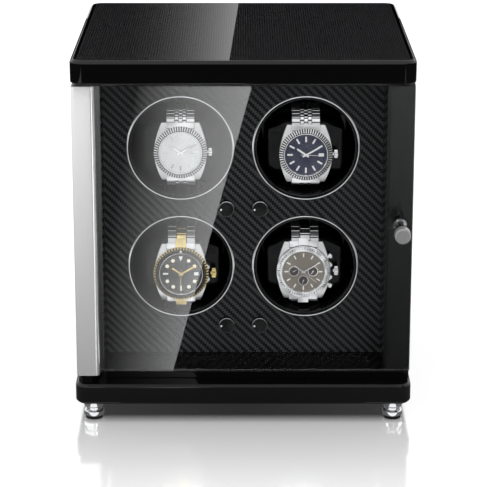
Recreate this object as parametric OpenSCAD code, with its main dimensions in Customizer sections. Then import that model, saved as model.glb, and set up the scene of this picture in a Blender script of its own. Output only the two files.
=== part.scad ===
// Four-rotor watch winder box: lacquered cabinet, hinged glass door, belt-driven cups.
// Millimetres, +Z up, the door faces -Y. Origin at the bottom centre of the whole object.

/* [Cabinet] */
// Width of the lid
lid_w = 256.5; // [250:0.5:280]
// Depth of the lid and of the plinth
lid_d = 235; // [225:1:270]
// How far the plinth is wider than the lid on each side
plinth_over = 1; // [0:0.25:3]
// Thickness of the lid
lid_t = 19; // [16:0.5:24]
// Thickness of the plinth
plinth_t = 16; // [14:0.5:22]
// Clear height between the plinth and the lid
body_h = 235; // [232:1:260]
// How far the cabinet sides stand in from the lid's edge
body_inset = 0.25; // [0.25:0.25:3]
// How far the cabinet's rear stands in from the lid's edge
rear_inset = 8; // [6:0.5:12]
// Thickness of the side panels
wall_t = 20; // [18:0.5:22]
// Thickness of the deck board on the plinth
deck_t = 6.5; // [5:0.5:8]
// Radius of the lid's corners, seen from above
lid_corner_r = 5; // [4:0.5:12]
// Radius of the plinth's corners, seen from above
plinth_corner_r = 10; // [6:0.5:12]
// Bevel along the lid's and the plinth's edges
edge_bevel = 2; // [1:0.25:3]
// Width of the lacquered margin round the lid's inlay
inlay_margin = 5; // [3:0.5:8]
// Thickness of the lid's inlay
inlay_t = 1.2; // [0.8:0.1:2]

/* [Feet] */
// Height of a foot with its pad
foot_h = 15; // [12:0.5:20]
// Diameter of a foot
foot_dia = 15.5; // [13:0.5:20]
// Distance from a foot's axis to the plinth's edges
foot_inset = 13.5; // [12:0.5:20]
// Thickness of the rubber pad under a foot
pad_t = 2; // [1.5:0.25:3]

/* [Door] */
// How far the door's front stands behind the lid's front edge
door_setback = 6; // [5:0.5:9]
// Width of the hinge post, seen from the front
post_w = 17.5; // [16:0.5:19]
// Depth of the hinge post
post_d = 14; // [13:0.5:16]
// Gap between the plinth and the hinge post
post_gap = 5.5; // [4:0.5:7]
// Gap between the door and the lid
door_top_gap = 1.5; // [1:0.25:3]
// Gap between the deck board and the glass
glass_gap = 1.8; // [1:0.1:3]
// Thickness of the glass
glass_t = 4; // [3:0.5:5]
// How far the glass stands behind the hinge post's front
glass_setback = 2; // [1.5:0.25:3]
// How deep the glass sits in the hinge post
glass_grip = 5; // [4:0.5:6]
// Width of the handle strip behind the glass
strip_w = 18; // [16:0.5:19]
// Thickness of the handle strip
strip_t = 3; // [2:0.5:4]
// Radius of the hinge pivots
pivot_r = 3; // [2:0.25:4]
// Radial clearance of the hinge pivots
pivot_clear = 0.05; // [0.02:0.01:0.1]
// How deep a pivot reaches into the hinge post
pivot_reach = 10; // [8:0.5:14]

/* [Door knob] */
// Length of the knob in front of the glass
knob_len = 32; // [24:1:36]
// Diameter of the knob's head
knob_dia = 12; // [10:0.5:14]
// Length of the knob's head
knob_head_len = 9; // [7:0.5:11]
// Diameter of the knob's neck
knob_neck_dia = 6; // [5:0.5:7]
// Diameter of the collar under the knob
collar_dia = 10.5; // [9:0.5:13]
// Height of the collar
collar_t = 4; // [3:0.5:6]
// Height of the knob above the floor
knob_z = 157.5; // [120:0.5:190]

/* [Rotors] */
// Distance between the rotors' axes, left to right
rotor_dx = 97; // [94:0.5:104]
// Distance between the rotors' axes, up and down
rotor_dz = 95.5; // [92:0.5:100]
// How far the middle of the four rotors stands above the middle of the chamber
rotor_rise = 5; // [2:0.25:8]
// Distance from the lid's front edge to the rotor panel
panel_setback = 56; // [50:1:60]
// Thickness of the rotor panel
panel_t = 5; // [4:0.5:6]
// Radius of the openings in the rotor panel
hole_r = 41.6; // [41:0.1:42.5]
// Wall of the bright trim rings
ring_wall = 1.3; // [1:0.1:1.6]
// How far the trim rings stand proud of the panel
ring_proud = 0.8; // [0.4:0.1:1.2]
// Radial gap between a trim ring and its cup
cup_gap = 0.5; // [0.3:0.1:0.8]
// Wall of a cup
cup_wall = 1.8; // [1.5:0.1:2.2]
// Inner depth of a cup
cup_depth = 69; // [67:1:74]
// Thickness of a cup's floor
cup_floor = 3; // [2.5:0.5:4]

/* [Cushions and watches] */
// Width of a watch cushion
cushion_w = 64; // [56:1:66]
// Height of a watch cushion
cushion_h = 54; // [50:1:56]
// Depth of a watch cushion
cushion_d = 38; // [34:1:40]
// Gap between a cushion and its cup
cushion_gap = 0.4; // [0.3:0.1:0.8]
// How far a watch sits below its rotor's axis
watch_drop = 5; // [3:0.5:6]
// Diameter of a watch case
case_dia = 40; // [38:0.5:42]
// Thickness of a watch case
case_t = 10.5; // [9:0.5:12]
// Length of a watch case from lug to lug
lug_span = 45; // [44:0.5:49]
// Width of a watch case across its lugs
lug_w = 28; // [25:0.5:30]
// Width of a bracelet
bracelet_w = 20; // [18:1:22]
// Thickness of a bracelet
bracelet_t = 3; // [2.5:0.25:3.5]
// How far a watch's front stands behind the panel's front
watch_recess = 0; // [0:0.5:4]

/* [Setting dials] */
// Distance between the dials of a pair
dial_dx = 26; // [24:0.5:30]
// Diameter of a setting dial
dial_dia = 12.4; // [10:0.2:14]
// How far a setting dial stands out of the panel
dial_len = 5; // [4:0.5:6]
// Side of the square switch behind a dial
switch_side = 14; // [12:0.5:15]
// Depth of the switch behind a dial
switch_d = 9; // [7:0.5:11]

/* [Drive] */
// Radius at the bottom of the belt groove on a cup
drive_r = 20; // [17:0.5:22]
// Radius at the bottom of the belt groove on a motor
pinion_r = 6.5; // [5.5:0.5:7.5]
// Distance from a rotor's axis down to its motor
motor_drop = 36; // [35:0.5:38]
// Thickness of a drive belt
belt_t = 1.5; // [1:0.25:2]
// Width of a drive belt
belt_w = 4; // [3:0.5:5]
// Radius of the spindle that a cup turns on
spindle_r = 5; // [4:0.5:6]
// Radial clearance of a cup on its spindle
spindle_clear = 0.05; // [0.02:0.01:0.1]
// Radius of a gear motor
motor_r = 15; // [13:0.5:16]
// Length of a gear motor
motor_len = 24; // [20:1:30]
// Thickness of the drive chassis
chassis_t = 4; // [3:0.5:5]

/* [Rear] */
// Thickness of the back panel
back_t = 6; // [5:0.5:8]
// Width of the rear cover
cover_w = 150; // [120:1:170]
// Height of the rear cover
cover_h = 170; // [150:1:190]
// Thickness of the rear cover
cover_t = 2; // [1.5:0.25:2.5]
// How far the rear cover overlaps its opening
cover_lap = 8; // [7:0.5:12]
// Radius of the power inlet's bore
inlet_bore_r = 2.8; // [2.5:0.1:3.2]
// Depth of the power inlet's bore
inlet_depth = 9.5; // [8:0.5:12]

/* [Hidden] */
$fn = 72;

// Small overlap that lets a cut break cleanly through a face
cut = 1;
// Running gap between faces that pass each other
run_gap = 0.3;
// Gap between pieces that turn or swing past each other in the open
swing_gap = 1;

// Heights
plinth_z = foot_h;
body_z = plinth_z + plinth_t;
deck_z = body_z + deck_t;
lid_z = body_z + body_h;
lid_top = lid_z + lid_t;

// Fronts, from the lid's front edge backwards; knob_reach stands out in front of it
glass_v = door_setback + glass_setback;
knob_reach = knob_len - glass_v;
front_y = (knob_reach - lid_d) / 2;
door_y = front_y + door_setback;
glass_y = front_y + glass_v;
glass_back = glass_y + glass_t;
strip_back = glass_back + strip_t;
wall_front = strip_back + swing_gap;
panel_y = front_y + panel_setback;
panel_back = panel_y + panel_t;
rear_y = front_y + lid_d - rear_inset;
back_y = rear_y - back_t;

// Widths
body_x = lid_w / 2 - body_inset;
inner_x = body_x - wall_t;
inner_h = lid_z - deck_z;

// Hinge post: a box with small front corners and large rear ones, turning on its middle
post_front_r = 3;
post_rear_r = 6;
post_x = -body_x + post_w / 2;
post_y = door_y + post_d / 2;
post_z = body_z + post_gap;
post_h = lid_z - door_top_gap - post_z;
post_sweep = norm([post_w / 2 - post_front_r, post_d / 2 - post_front_r]) + post_front_r;
left_wall_front = post_y + post_sweep + swing_gap;
pivot_flange_r = 6.5;
upper_flange_t = door_top_gap - run_gap;
lower_flange_t = post_gap - run_gap;
pivot_seat = plinth_t / 2;

// Glass
glass_z = deck_z + glass_gap;
glass_h = lid_z - door_top_gap - glass_z;
glass_x = post_x + post_w / 2 - glass_grip;
glass_right = body_x;
glass_w = glass_right - glass_x;
strip_x = glass_right - strip_w;

// Knob, its screw and the catch
knob_x = glass_right - strip_w / 2 - 0.8;
knob_foot_t = 1.5;
knob_flare = 3.5;
screw_r = 2;
screw_clear = 0.1;
screw_head_r = 3.6;
screw_head_t = 2;
screw_reach = 12;
catch_rise = 180;
catch_z = glass_z + catch_rise;
magnet_r = 4;
magnet_t = 6;
strike_r = 5;
strike_t = 0.8;
bumper_r = 3.5;
bumper_t = swing_gap - run_gap;
bumper_inset = 12;
bumper_z = [glass_z + bumper_inset, glass_z + glass_h - bumper_inset];

// Rotors: sides are -1 left and 1 right, rows are 1 upper and -1 lower
mid_z = (deck_z + lid_z) / 2 + rotor_rise;
ring_in = hole_r - ring_wall;
cup_r = ring_in - cup_gap;
cup_in = cup_r - cup_wall;
cup_front = panel_y + run_gap;
cup_floor_y = cup_front + cup_depth;
cup_back = cup_floor_y + cup_floor;
groove_wall = 2.5;
flange_over = 2.5;
pulley_w = belt_w + 2 * groove_wall;
hub_back = cup_back + pulley_w;
belt_y = cup_back + groove_wall;
chassis_y = hub_back + run_gap;
chassis_back = chassis_y + chassis_t;
spindle_screw_r = 1.9;
spindle_head_r = 7.5;
spindle_head_t = 2.5;
spindle_screw_len = 14;
spindle_flange_r = 8;
spindle_flange_t = 2.5;

// Motors
shaft_r = 2;
shaft_clear = 0.05;
shaft_hole_r = 3;
shaft_in_motor = 5;
gearbox_t = 7;
motor_cap_r = 3.5;
motor_cap_t = 2;
motor_ear = 5;
ear_h = 8;
belt_gap = 0.1;

// Screws that hold the motors and the control board
small_screw_r = 1.5;
small_screw_head_r = 2.5;
small_screw_head_t = 1.8;
small_screw_len = 4.6;

// Setting dials, half a row below their rotors
dial_stem_r = 3;
dial_stem_hole = dial_stem_r + 0.3;
dial_gap = 0.4;
dial_stem_depth = 5;
dial_dish = 0.8;
dial_drop = rotor_dz / 2;

// Cushions and watches
cushion_r = 15;
cushion_round = cup_in - cushion_gap;
watch_front = panel_y + watch_recess;
case_back = watch_front + case_t;
cushion_front = case_back + 0.3;
cushion_z_shift = -4;
loop_gap = 0.3;
lug_t = 6;
lug_root_h = 6;
bezel_t = 3;
crown_r = 3;
crown_len = 3.5;

// Feet
foot_x = lid_w / 2 + plinth_over - foot_inset;
foot_y = [front_y + foot_inset, front_y + lid_d - foot_inset];
foot_groove_r = foot_dia / 2 - 1.6;
foot_metal_h = foot_h - pad_t;
foot_peg_r = 3;
foot_peg_h = plinth_t / 2 - 1;
plinth_screw_r = 2.2;
plinth_screw_head_r = 4.2;
plinth_screw_head_t = 2.4;
plinth_screw_up = 12;
plinth_screw_inset = 60;
plinth_screw_y = [front_y + plinth_screw_inset, front_y + lid_d - plinth_screw_inset];

// Rear cover and what it holds
cover_z = mid_z;
cover_screw_r = 1.6;
cover_screw_head_r = 3;
cover_screw_head_t = 1.6;
cover_screw_len = 5;
cover_screw_pitch = [cover_w - cover_lap, cover_h - cover_lap];
vent_count = 7;
vent_w = 3;
vent_len = 44;
vent_pitch = 7;
inlet_inset = [25, 26];
inlet_x = cover_w / 2 - inlet_inset[0];
inlet_z = cover_z - cover_h / 2 + inlet_inset[1];
inlet_body_r = 5.5;
inlet_flange_r = 7.5;
inlet_flange_t = 1.6;
inlet_len = 14;
inlet_nut_r = 8;
inlet_nut_t = 2.5;
inlet_pin_r = 1;
board_w = 48;
board_h = 110;
board_t = 1.6;
board_post_h = 6;
board_post_r = 3;
board_post_x = board_w / 2 - board_post_r - 1;
board_post_z = board_h / 2 - board_post_r - 1;
board_y = chassis_back + board_post_h;
chip_count = 4;
chip_pitch = 24;
chip = [16, 2.2, 10];
connector = [30, 7, 6];
connector_inset = 3;

// Places of the four stations, [side, row]
STATIONS = [[-1, 1], [1, 1], [-1, -1], [1, -1]];
function station_x(side) = side * rotor_dx / 2;
function station_z(row) = mid_z + row * rotor_dz / 2;

// A cylinder along +Y that starts at y
module rod(x, y, z, r, len) {
    translate([x, y, z]) rotate([-90, 0, 0]) cylinder(r = r, h = len);
}

// A cylinder along +Z that starts at z
module rod_z(x, y, z, r, len) {
    translate([x, y, z]) cylinder(r = r, h = len);
}

// A block given by its lowest corner and its size
module block(x, y, z, w, d, h) {
    translate([x, y, z]) cube([w, d, h]);
}

// A slab with rounded corners in plan and bevelled edges
module slab(w, d, t, r, bevel) {
    hull()
        for (sx = [-1, 1], sy = [-1, 1])
            translate([sx * (w / 2 - r), sy * (d / 2 - r), 0]) {
                translate([0, 0, bevel]) cylinder(r = r, h = t - 2 * bevel, $fn = 32);
                cylinder(r = r - bevel, h = t, $fn = 32);
            }
}

// A flat plate with rounded corners in plan
module plate(w, d, t, r) {
    linear_extrude(t) {
        square([w - 2 * r, d], center = true);
        square([w, d - 2 * r], center = true);
        for (sx = [-1, 1], sy = [-1, 1])
            translate([sx * (w / 2 - r), sy * (d / 2 - r)]) circle(r = r);
    }
}

// A bar along X whose section in Y and Z has rounded corners, centred on the origin
module rounded_bar(len, d, h, r) {
    rotate([90, 0, 90]) translate([0, 0, -len / 2]) plate(d, h, len, r);
}

lid_mid_y = front_y + lid_d / 2;

module lid_board() {
    color("#0b0b0c") difference() {
        translate([0, lid_mid_y, lid_z]) slab(lid_w, lid_d, lid_t, lid_corner_r, edge_bevel);
        translate([0, lid_mid_y, lid_top - inlay_t])
            plate(lid_w - 2 * inlay_margin, lid_d - 2 * inlay_margin, inlay_t + cut,
                lid_corner_r - edge_bevel);
        rod_z(post_x, post_y, lid_z - cut, pivot_r, pivot_seat + cut);
    }
}

module lid_inlay() {
    color("#2a2b2d") translate([0, lid_mid_y, lid_top - inlay_t])
        plate(lid_w - 2 * inlay_margin, lid_d - 2 * inlay_margin, inlay_t, lid_corner_r - edge_bevel);
}

module side_panel_left() {
    color("#0b0b0c") difference() {
        block(-body_x, left_wall_front, body_z, wall_t, rear_y - left_wall_front, body_h);
        side_cuts(-1);
    }
}

module side_panel_right() {
    color("#0b0b0c") difference() {
        block(inner_x, wall_front, body_z, wall_t, rear_y - wall_front, body_h);
        side_cuts(1);
        rod(knob_x, wall_front - cut, catch_z, magnet_r, magnet_t + cut);
    }
}

// Screw holes that a side panel has at its foot
module side_cuts(side) {
    for (y = plinth_screw_y)
        rod_z(side * (body_x - wall_t / 2), y, body_z - cut, plinth_screw_r, plinth_screw_up + cut);
}

module plinth() {
    color("#0b0b0c") difference() {
        translate([0, lid_mid_y, plinth_z])
            slab(lid_w + 2 * plinth_over, lid_d, plinth_t, plinth_corner_r, edge_bevel);
        for (sx = [-1, 1], y = foot_y)
            rod_z(sx * foot_x, y, plinth_z - cut, foot_peg_r, foot_peg_h + cut);
        for (sx = [-1, 1], y = plinth_screw_y) {
            rod_z(sx * (body_x - wall_t / 2), y, plinth_z - cut, plinth_screw_r, plinth_t + 2 * cut);
            rod_z(sx * (body_x - wall_t / 2), y, plinth_z - cut,
                plinth_screw_head_r, plinth_screw_head_t + cut);
        }
        rod_z(post_x, post_y, body_z - pivot_seat, pivot_r, pivot_seat + cut);
    }
}

module deck_board() {
    color("#0b0b0c")
        block(-inner_x, wall_front, body_z, 2 * inner_x, back_y - wall_front, deck_t);
}

module rotor_panel() {
    color("#1d1e20") difference() {
        block(-inner_x, panel_y, deck_z, 2 * inner_x, panel_t, inner_h);
        for (s = STATIONS) {
            rod(station_x(s[0]), panel_y - cut, station_z(s[1]), hole_r, panel_t + 2 * cut);
            rod(s[0] * dial_dx / 2, panel_y - cut, station_z(s[1]) - dial_drop,
                dial_stem_hole, panel_t + 2 * cut);
        }
    }
}

module trim_rings() {
    color("#d9dadb") for (s = STATIONS)
        difference() {
            rod(station_x(s[0]), panel_y - ring_proud, station_z(s[1]), hole_r, panel_t + ring_proud);
            rod(station_x(s[0]), panel_y - ring_proud - cut, station_z(s[1]),
                ring_in, panel_t + ring_proud + 2 * cut);
        }
}

module drive_chassis() {
    color("#3a3b3d") difference() {
        union() {
            block(-inner_x, chassis_y, deck_z, 2 * inner_x, chassis_t, inner_h);
            for (sx = [-1, 1], sz = [-1, 1])
                rod(sx * board_post_x, chassis_back, mid_z + sz * board_post_z,
                    board_post_r, board_post_h);
        }
        chassis_screw_places()
            rod(0, board_t - small_screw_len, 0, small_screw_r, small_screw_len + cut);
        for (s = STATIONS) {
            rod(station_x(s[0]), chassis_y - cut, station_z(s[1]), spindle_r, chassis_t + 2 * cut);
            rod(station_x(s[0]), chassis_y - cut, station_z(s[1]) - motor_drop,
                shaft_hole_r, chassis_t + 2 * cut);
        }
    }
}

// Repeats its child at the foot of each screw that holds a motor's ear or a corner of the board
module chassis_screw_places() {
    for (s = STATIONS, sx = [-1, 1])
        translate([station_x(s[0]) + sx * (motor_r + motor_ear / 2), chassis_back,
            station_z(s[1]) - motor_drop]) children();
    for (sx = [-1, 1], sz = [-1, 1])
        translate([sx * board_post_x, board_y, mid_z + sz * board_post_z]) children();
}

module chassis_screws() {
    color("#8a8c90") chassis_screw_places() {
        rod(0, board_t, 0, small_screw_head_r, small_screw_head_t);
        rod(0, board_t - small_screw_len, 0, small_screw_r, small_screw_len);
    }
}

module back_panel() {
    color("#111112") difference() {
        block(-inner_x, back_y, body_z, 2 * inner_x, back_t, body_h);
        block(-cover_w / 2 + cover_lap, back_y - cut, cover_z - cover_h / 2 + cover_lap,
            cover_w - 2 * cover_lap, back_t + 2 * cut, cover_h - 2 * cover_lap);
        cover_screw_places() rod(0, rear_y - cover_screw_len, 0, cover_screw_r, cover_screw_len + cut);
    }
}

// Repeats its child at each of the rear cover's screws
module cover_screw_places() {
    for (sx = [-1, 1], sz = [-1, 0, 1])
        translate([sx * cover_screw_pitch[0] / 2, 0, cover_z + sz * cover_screw_pitch[1] / 2])
            children();
}

module rear_cover() {
    color("#19191a") difference() {
        block(-cover_w / 2, rear_y, cover_z - cover_h / 2, cover_w, cover_t, cover_h);
        cover_screw_places() rod(0, rear_y - cut, 0, cover_screw_r, cover_t + 2 * cut);
        rod(inlet_x, rear_y - cut, inlet_z, inlet_body_r, cover_t + 2 * cut);
        for (i = [0 : vent_count - 1])
            block(-vent_len / 2, rear_y - cut,
                cover_z + (i - (vent_count - 1) / 2) * vent_pitch - vent_w / 2,
                vent_len, cover_t + 2 * cut, vent_w);
    }
}

module rear_cover_screws() {
    color("#2b2b2c") cover_screw_places() {
        rod(0, rear_y - cover_screw_len, 0, cover_screw_r, cover_screw_len + cover_t);
        rod(0, rear_y + cover_t, 0, cover_screw_head_r, cover_screw_head_t);
    }
}

// A turned foot: a disc under the plinth, a groove and a wider disc on the rubber pad
module foot(side, end) {
    color("#dcdddf") translate([side * foot_x, foot_y[end], 0]) rotate_extrude()
        polygon([
            [0, pad_t], [foot_dia / 2 - 1, pad_t], [foot_dia / 2, pad_t + 1],
            [foot_dia / 2, foot_metal_h * 0.5], [foot_groove_r, foot_metal_h * 0.5 + 1],
            [foot_groove_r, foot_metal_h * 0.5 + 2.4], [foot_dia / 2, foot_metal_h * 0.5 + 3.4],
            [foot_dia / 2, foot_h - 1], [foot_dia / 2 - 1, foot_h],
            [foot_peg_r, foot_h], [foot_peg_r, foot_h + foot_peg_h], [0, foot_h + foot_peg_h]
        ]);
}
module foot_front_left() foot(-1, 0);
module foot_front_right() foot(1, 0);
module foot_rear_left() foot(-1, 1);
module foot_rear_right() foot(1, 1);

module foot_pads() {
    color("#1a1a1a") for (sx = [-1, 1], y = foot_y)
        rod_z(sx * foot_x, y, 0, foot_dia / 2 - 1.2, pad_t);
}

module plinth_screws() {
    color("#8a8c90") for (sx = [-1, 1], y = plinth_screw_y) {
        rod_z(sx * (body_x - wall_t / 2), y, plinth_z, plinth_screw_head_r, plinth_screw_head_t);
        rod_z(sx * (body_x - wall_t / 2), y, plinth_z, plinth_screw_r, plinth_t + plinth_screw_up);
    }
}

// Fixed hinge pivots: a flange on the cabinet, with a pin into the post and one into the board
module pivot_lower() {
    color("#1c1c1e") {
        rod_z(post_x, post_y, body_z, pivot_flange_r, lower_flange_t);
        rod_z(post_x, post_y, body_z - pivot_seat, pivot_r, pivot_seat + post_gap + pivot_reach);
    }
}

module pivot_upper() {
    color("#1c1c1e") {
        rod_z(post_x, post_y, lid_z - upper_flange_t, pivot_flange_r, upper_flange_t);
        rod_z(post_x, post_y, lid_z - door_top_gap - pivot_reach,
            pivot_r, pivot_seat + door_top_gap + pivot_reach);
    }
}

module hinge_post() {
    color("#d4d5d6") difference() {
        translate([post_x, post_y, post_z]) linear_extrude(post_h) post_section();
        block(glass_x, glass_y, glass_z, post_w, glass_t, glass_h + cut);
        for (z = [post_z - cut, post_z + post_h - pivot_reach - run_gap])
            rod_z(post_x, post_y, z, pivot_r + pivot_clear, pivot_reach + run_gap + cut);
    }
}

module post_section() {
    square([post_w, post_d - 2 * post_rear_r], center = true);
    for (sx = [-1, 1]) {
        translate([sx * (post_w / 2 - post_rear_r), post_d / 2 - post_rear_r])
            circle(r = post_rear_r);
        translate([sx * (post_w / 2 - post_front_r), -post_d / 2 + post_front_r])
            circle(r = post_front_r);
    }
    translate([-post_w / 2 + post_front_r, -post_d / 2]) square([post_w - 2 * post_front_r, post_d / 2]);
    translate([-post_w / 2, -post_d / 2 + post_front_r]) square([post_w, post_d / 2 - post_front_r]);
    translate([-post_w / 2 + post_rear_r, 0]) square([post_w - 2 * post_rear_r, post_d / 2]);
}

module door_glass() {
    color("#cfe0e4", 0.25) difference() {
        block(glass_x, glass_y, glass_z, glass_w, glass_t, glass_h);
        rod(knob_x, glass_y - cut, knob_z, screw_r + screw_clear, glass_t + 2 * cut);
    }
}

module handle_strip() {
    color("#1b1c1e") difference() {
        block(strip_x, glass_back, glass_z, strip_w, strip_t, glass_h);
        rod(knob_x, glass_back - cut, knob_z, screw_r + screw_clear, strip_t + 2 * cut);
        rod(knob_x, strip_back - screw_head_t, knob_z, screw_head_r + screw_clear, screw_head_t + cut);
        rod(knob_x, strip_back - strike_t, catch_z, strike_r, strike_t + cut);
    }
}

module strike_plate() {
    color("#9a9ca0") rod(knob_x, strip_back - strike_t, catch_z, strike_r, strike_t);
}

module catch_magnet() {
    color("#8f9196") rod(knob_x, wall_front, catch_z, magnet_r, magnet_t);
}

module door_bumpers() {
    color("#202020") for (z = bumper_z)
        rod(knob_x, wall_front - bumper_t, z, bumper_r, bumper_t);
}

module knob_collar() {
    color("#1b1b1d") difference() {
        rod(knob_x, glass_y - collar_t, knob_z, collar_dia / 2, collar_t);
        rod(knob_x, glass_y - collar_t - cut, knob_z, screw_r + screw_clear, collar_t + 2 * cut);
    }
}

// A turned knob: foot on the collar, waisted neck and a round head, drilled for its screw
module door_knob() {
    stem = knob_len - collar_t;
    neck = knob_neck_dia / 2;
    head = knob_dia / 2;
    color("#c9cacc") translate([knob_x, glass_y - collar_t, knob_z]) rotate([90, 0, 0])
        rotate_extrude() polygon([
            [screw_r, 0], [collar_dia / 2 - 1, 0], [collar_dia / 2 - 1, knob_foot_t],
            [neck, knob_foot_t + knob_flare],
            [neck, stem - knob_head_len - knob_flare], [head - 1, stem - knob_head_len],
            [head, stem - knob_head_len + 1], [head, stem - 1], [head - 1, stem], [0, stem],
            [0, screw_reach], [screw_r, screw_reach]
        ]);
}

module knob_screw() {
    color("#8a8c90") {
        rod(knob_x, strip_back - screw_head_t, knob_z, screw_head_r, screw_head_t);
        rod(knob_x, glass_y - collar_t - screw_reach + run_gap, knob_z, screw_r,
            screw_reach - run_gap + collar_t + glass_t + strip_t);
    }
}

// A cup with its hub and belt pulley, turned in one piece
module cup(side, row) {
    color("#141415") translate([station_x(side), 0, station_z(row)]) difference() {
        union() {
            rod(0, cup_front, 0, cup_r, cup_back - cup_front);
            rod(0, cup_back, 0, drive_r, pulley_w);
            rod(0, cup_back, 0, drive_r + flange_over, groove_wall);
            rod(0, hub_back - groove_wall, 0, drive_r + flange_over, groove_wall);
        }
        rod(0, cup_front - cut, 0, cup_in, cup_depth + cut);
        rod(0, cup_floor_y - cut, 0, spindle_r + spindle_clear, hub_back - cup_floor_y + 2 * cut);
    }
}
module cup_upper_left() cup(-1, 1);
module cup_upper_right() cup(1, 1);
module cup_lower_left() cup(-1, -1);
module cup_lower_right() cup(1, -1);

module rotor_spindles() {
    color("#a9abae") for (s = STATIONS) translate([station_x(s[0]), 0, station_z(s[1])])
        difference() {
            union() {
                rod(0, cup_floor_y - run_gap, 0, spindle_r, chassis_back - cup_floor_y + run_gap);
                rod(0, chassis_back, 0, spindle_flange_r, spindle_flange_t);
            }
            rod(0, cup_floor_y - cut, 0, spindle_screw_r, spindle_screw_len - run_gap + cut);
        }
}

module rotor_screws() {
    color("#8a8c90") for (s = STATIONS) translate([station_x(s[0]), 0, station_z(s[1])]) {
        rod(0, cup_floor_y - run_gap - spindle_head_t, 0, spindle_head_r, spindle_head_t);
        rod(0, cup_floor_y - run_gap, 0, spindle_screw_r, spindle_screw_len);
    }
}

// The outline round a drive pulley at the origin and a motor pulley below it, as two arcs
module belt_outline(big, small) {
    lean = asin((big - small) / motor_drop);
    steps = 32;
    polygon([
        for (i = [0 : steps])
            let (a = -lean + i * (180 + 2 * lean) / steps) big * [cos(a), sin(a)],
        for (i = [0 : steps])
            let (a = 180 + lean + i * (180 - 2 * lean) / steps)
                [0, -motor_drop] + small * [cos(a), sin(a)]
    ]);
}

module drive_belts() {
    color("#202022") for (s = STATIONS)
        translate([station_x(s[0]), belt_y + belt_w / 2, station_z(s[1])]) rotate([90, 0, 0])
            translate([0, 0, -(belt_w - 2 * belt_gap) / 2]) linear_extrude(belt_w - 2 * belt_gap)
                difference() {
                    belt_outline(drive_r + belt_gap + belt_t, pinion_r + belt_gap + belt_t);
                    belt_outline(drive_r + belt_gap, pinion_r + belt_gap);
                }
}

module pulley(side, row) {
    color("#c9a24a") translate([station_x(side), 0, station_z(row) - motor_drop]) {
        rod(0, cup_back + run_gap, 0, pinion_r, pulley_w - run_gap);
        rod(0, cup_back + run_gap, 0, pinion_r + flange_over, groove_wall - run_gap);
        rod(0, hub_back - groove_wall, 0, pinion_r + flange_over, groove_wall);
        rod(0, hub_back, 0, shaft_r, chassis_back + shaft_in_motor - hub_back);
    }
}
module pulley_upper_left() pulley(-1, 1);
module pulley_upper_right() pulley(1, 1);
module pulley_lower_left() pulley(-1, -1);
module pulley_lower_right() pulley(1, -1);

// A gear motor behind the chassis, with its gearbox plate, can and two fixing ears
module motor(side, row) {
    color("#b4b6ba") translate([station_x(side), 0, station_z(row) - motor_drop]) difference() {
        union() {
            rod(0, chassis_back, 0, motor_r, gearbox_t);
            rod(0, chassis_back + gearbox_t, 0, motor_r - 2, motor_len - gearbox_t);
            rod(0, chassis_back + motor_len, 0, motor_cap_r, motor_cap_t);
            block(-motor_r - motor_ear, chassis_back, -ear_h / 2, 2 * (motor_r + motor_ear),
                board_t, ear_h);
        }
        rod(0, chassis_back - cut, 0, shaft_r + shaft_clear, shaft_in_motor + run_gap + cut);
        for (sx = [-1, 1])
            rod(sx * (motor_r + motor_ear / 2), chassis_back - cut, 0,
                small_screw_r, board_t + 2 * cut);
    }
}
module motor_upper_left() motor(-1, 1);
module motor_upper_right() motor(1, 1);
module motor_lower_left() motor(-1, -1);
module motor_lower_right() motor(1, -1);

module cushion(side, row) {
    mid_y = cushion_front + cushion_d / 2;
    color("#151516") intersection() {
        translate([station_x(side), mid_y, station_z(row) + cushion_z_shift])
            rounded_bar(cushion_w, cushion_d, cushion_h, cushion_r);
        rod(station_x(side), cushion_front - cut, station_z(row), cushion_round, cushion_d + 2 * cut);
    }
}
module cushion_upper_left() cushion(-1, 1);
module cushion_upper_right() cushion(1, 1);
module cushion_lower_left() cushion(-1, -1);
module cushion_lower_right() cushion(1, -1);

// A display watch: round case with lugs, raised bezel and crown, and a bracelet closed round the cushion
module watch(side, row) {
    mid_y = cushion_front + cushion_d / 2;
    color("#c4c5c7") {
        translate([station_x(side), 0, station_z(row) - watch_drop]) {
            rod(0, watch_front + bezel_t, 0, case_dia / 2 - 0.5, case_t - bezel_t);
            rod(0, watch_front, 0, case_dia / 2, bezel_t);
            translate([0, case_back, 0]) rotate([90, 0, 0]) linear_extrude(lug_t)
                polygon([
                    [-lug_w / 2, lug_span / 2], [lug_w / 2, lug_span / 2],
                    [case_dia / 2 - 1, lug_root_h], [case_dia / 2 - 1, -lug_root_h],
                    [lug_w / 2, -lug_span / 2], [-lug_w / 2, -lug_span / 2],
                    [1 - case_dia / 2, -lug_root_h], [1 - case_dia / 2, lug_root_h]
                ]);
            translate([case_dia / 2 - 1, watch_front + case_t / 2, 0]) rotate([0, 90, 0])
                cylinder(r = crown_r, h = crown_len + 1);
        }
        translate([station_x(side), mid_y, station_z(row) + cushion_z_shift]) difference() {
            rounded_bar(bracelet_w, cushion_d + 2 * (loop_gap + bracelet_t),
                cushion_h + 2 * (loop_gap + bracelet_t), cushion_r + loop_gap + bracelet_t);
            rounded_bar(bracelet_w + 2 * cut, cushion_d + 2 * loop_gap,
                cushion_h + 2 * loop_gap, cushion_r + loop_gap);
        }
    }
}
module watch_upper_left() watch(-1, 1);
module watch_upper_right() watch(1, 1);
module watch_lower_left() watch(-1, -1);
module watch_lower_right() watch(1, -1);

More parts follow.
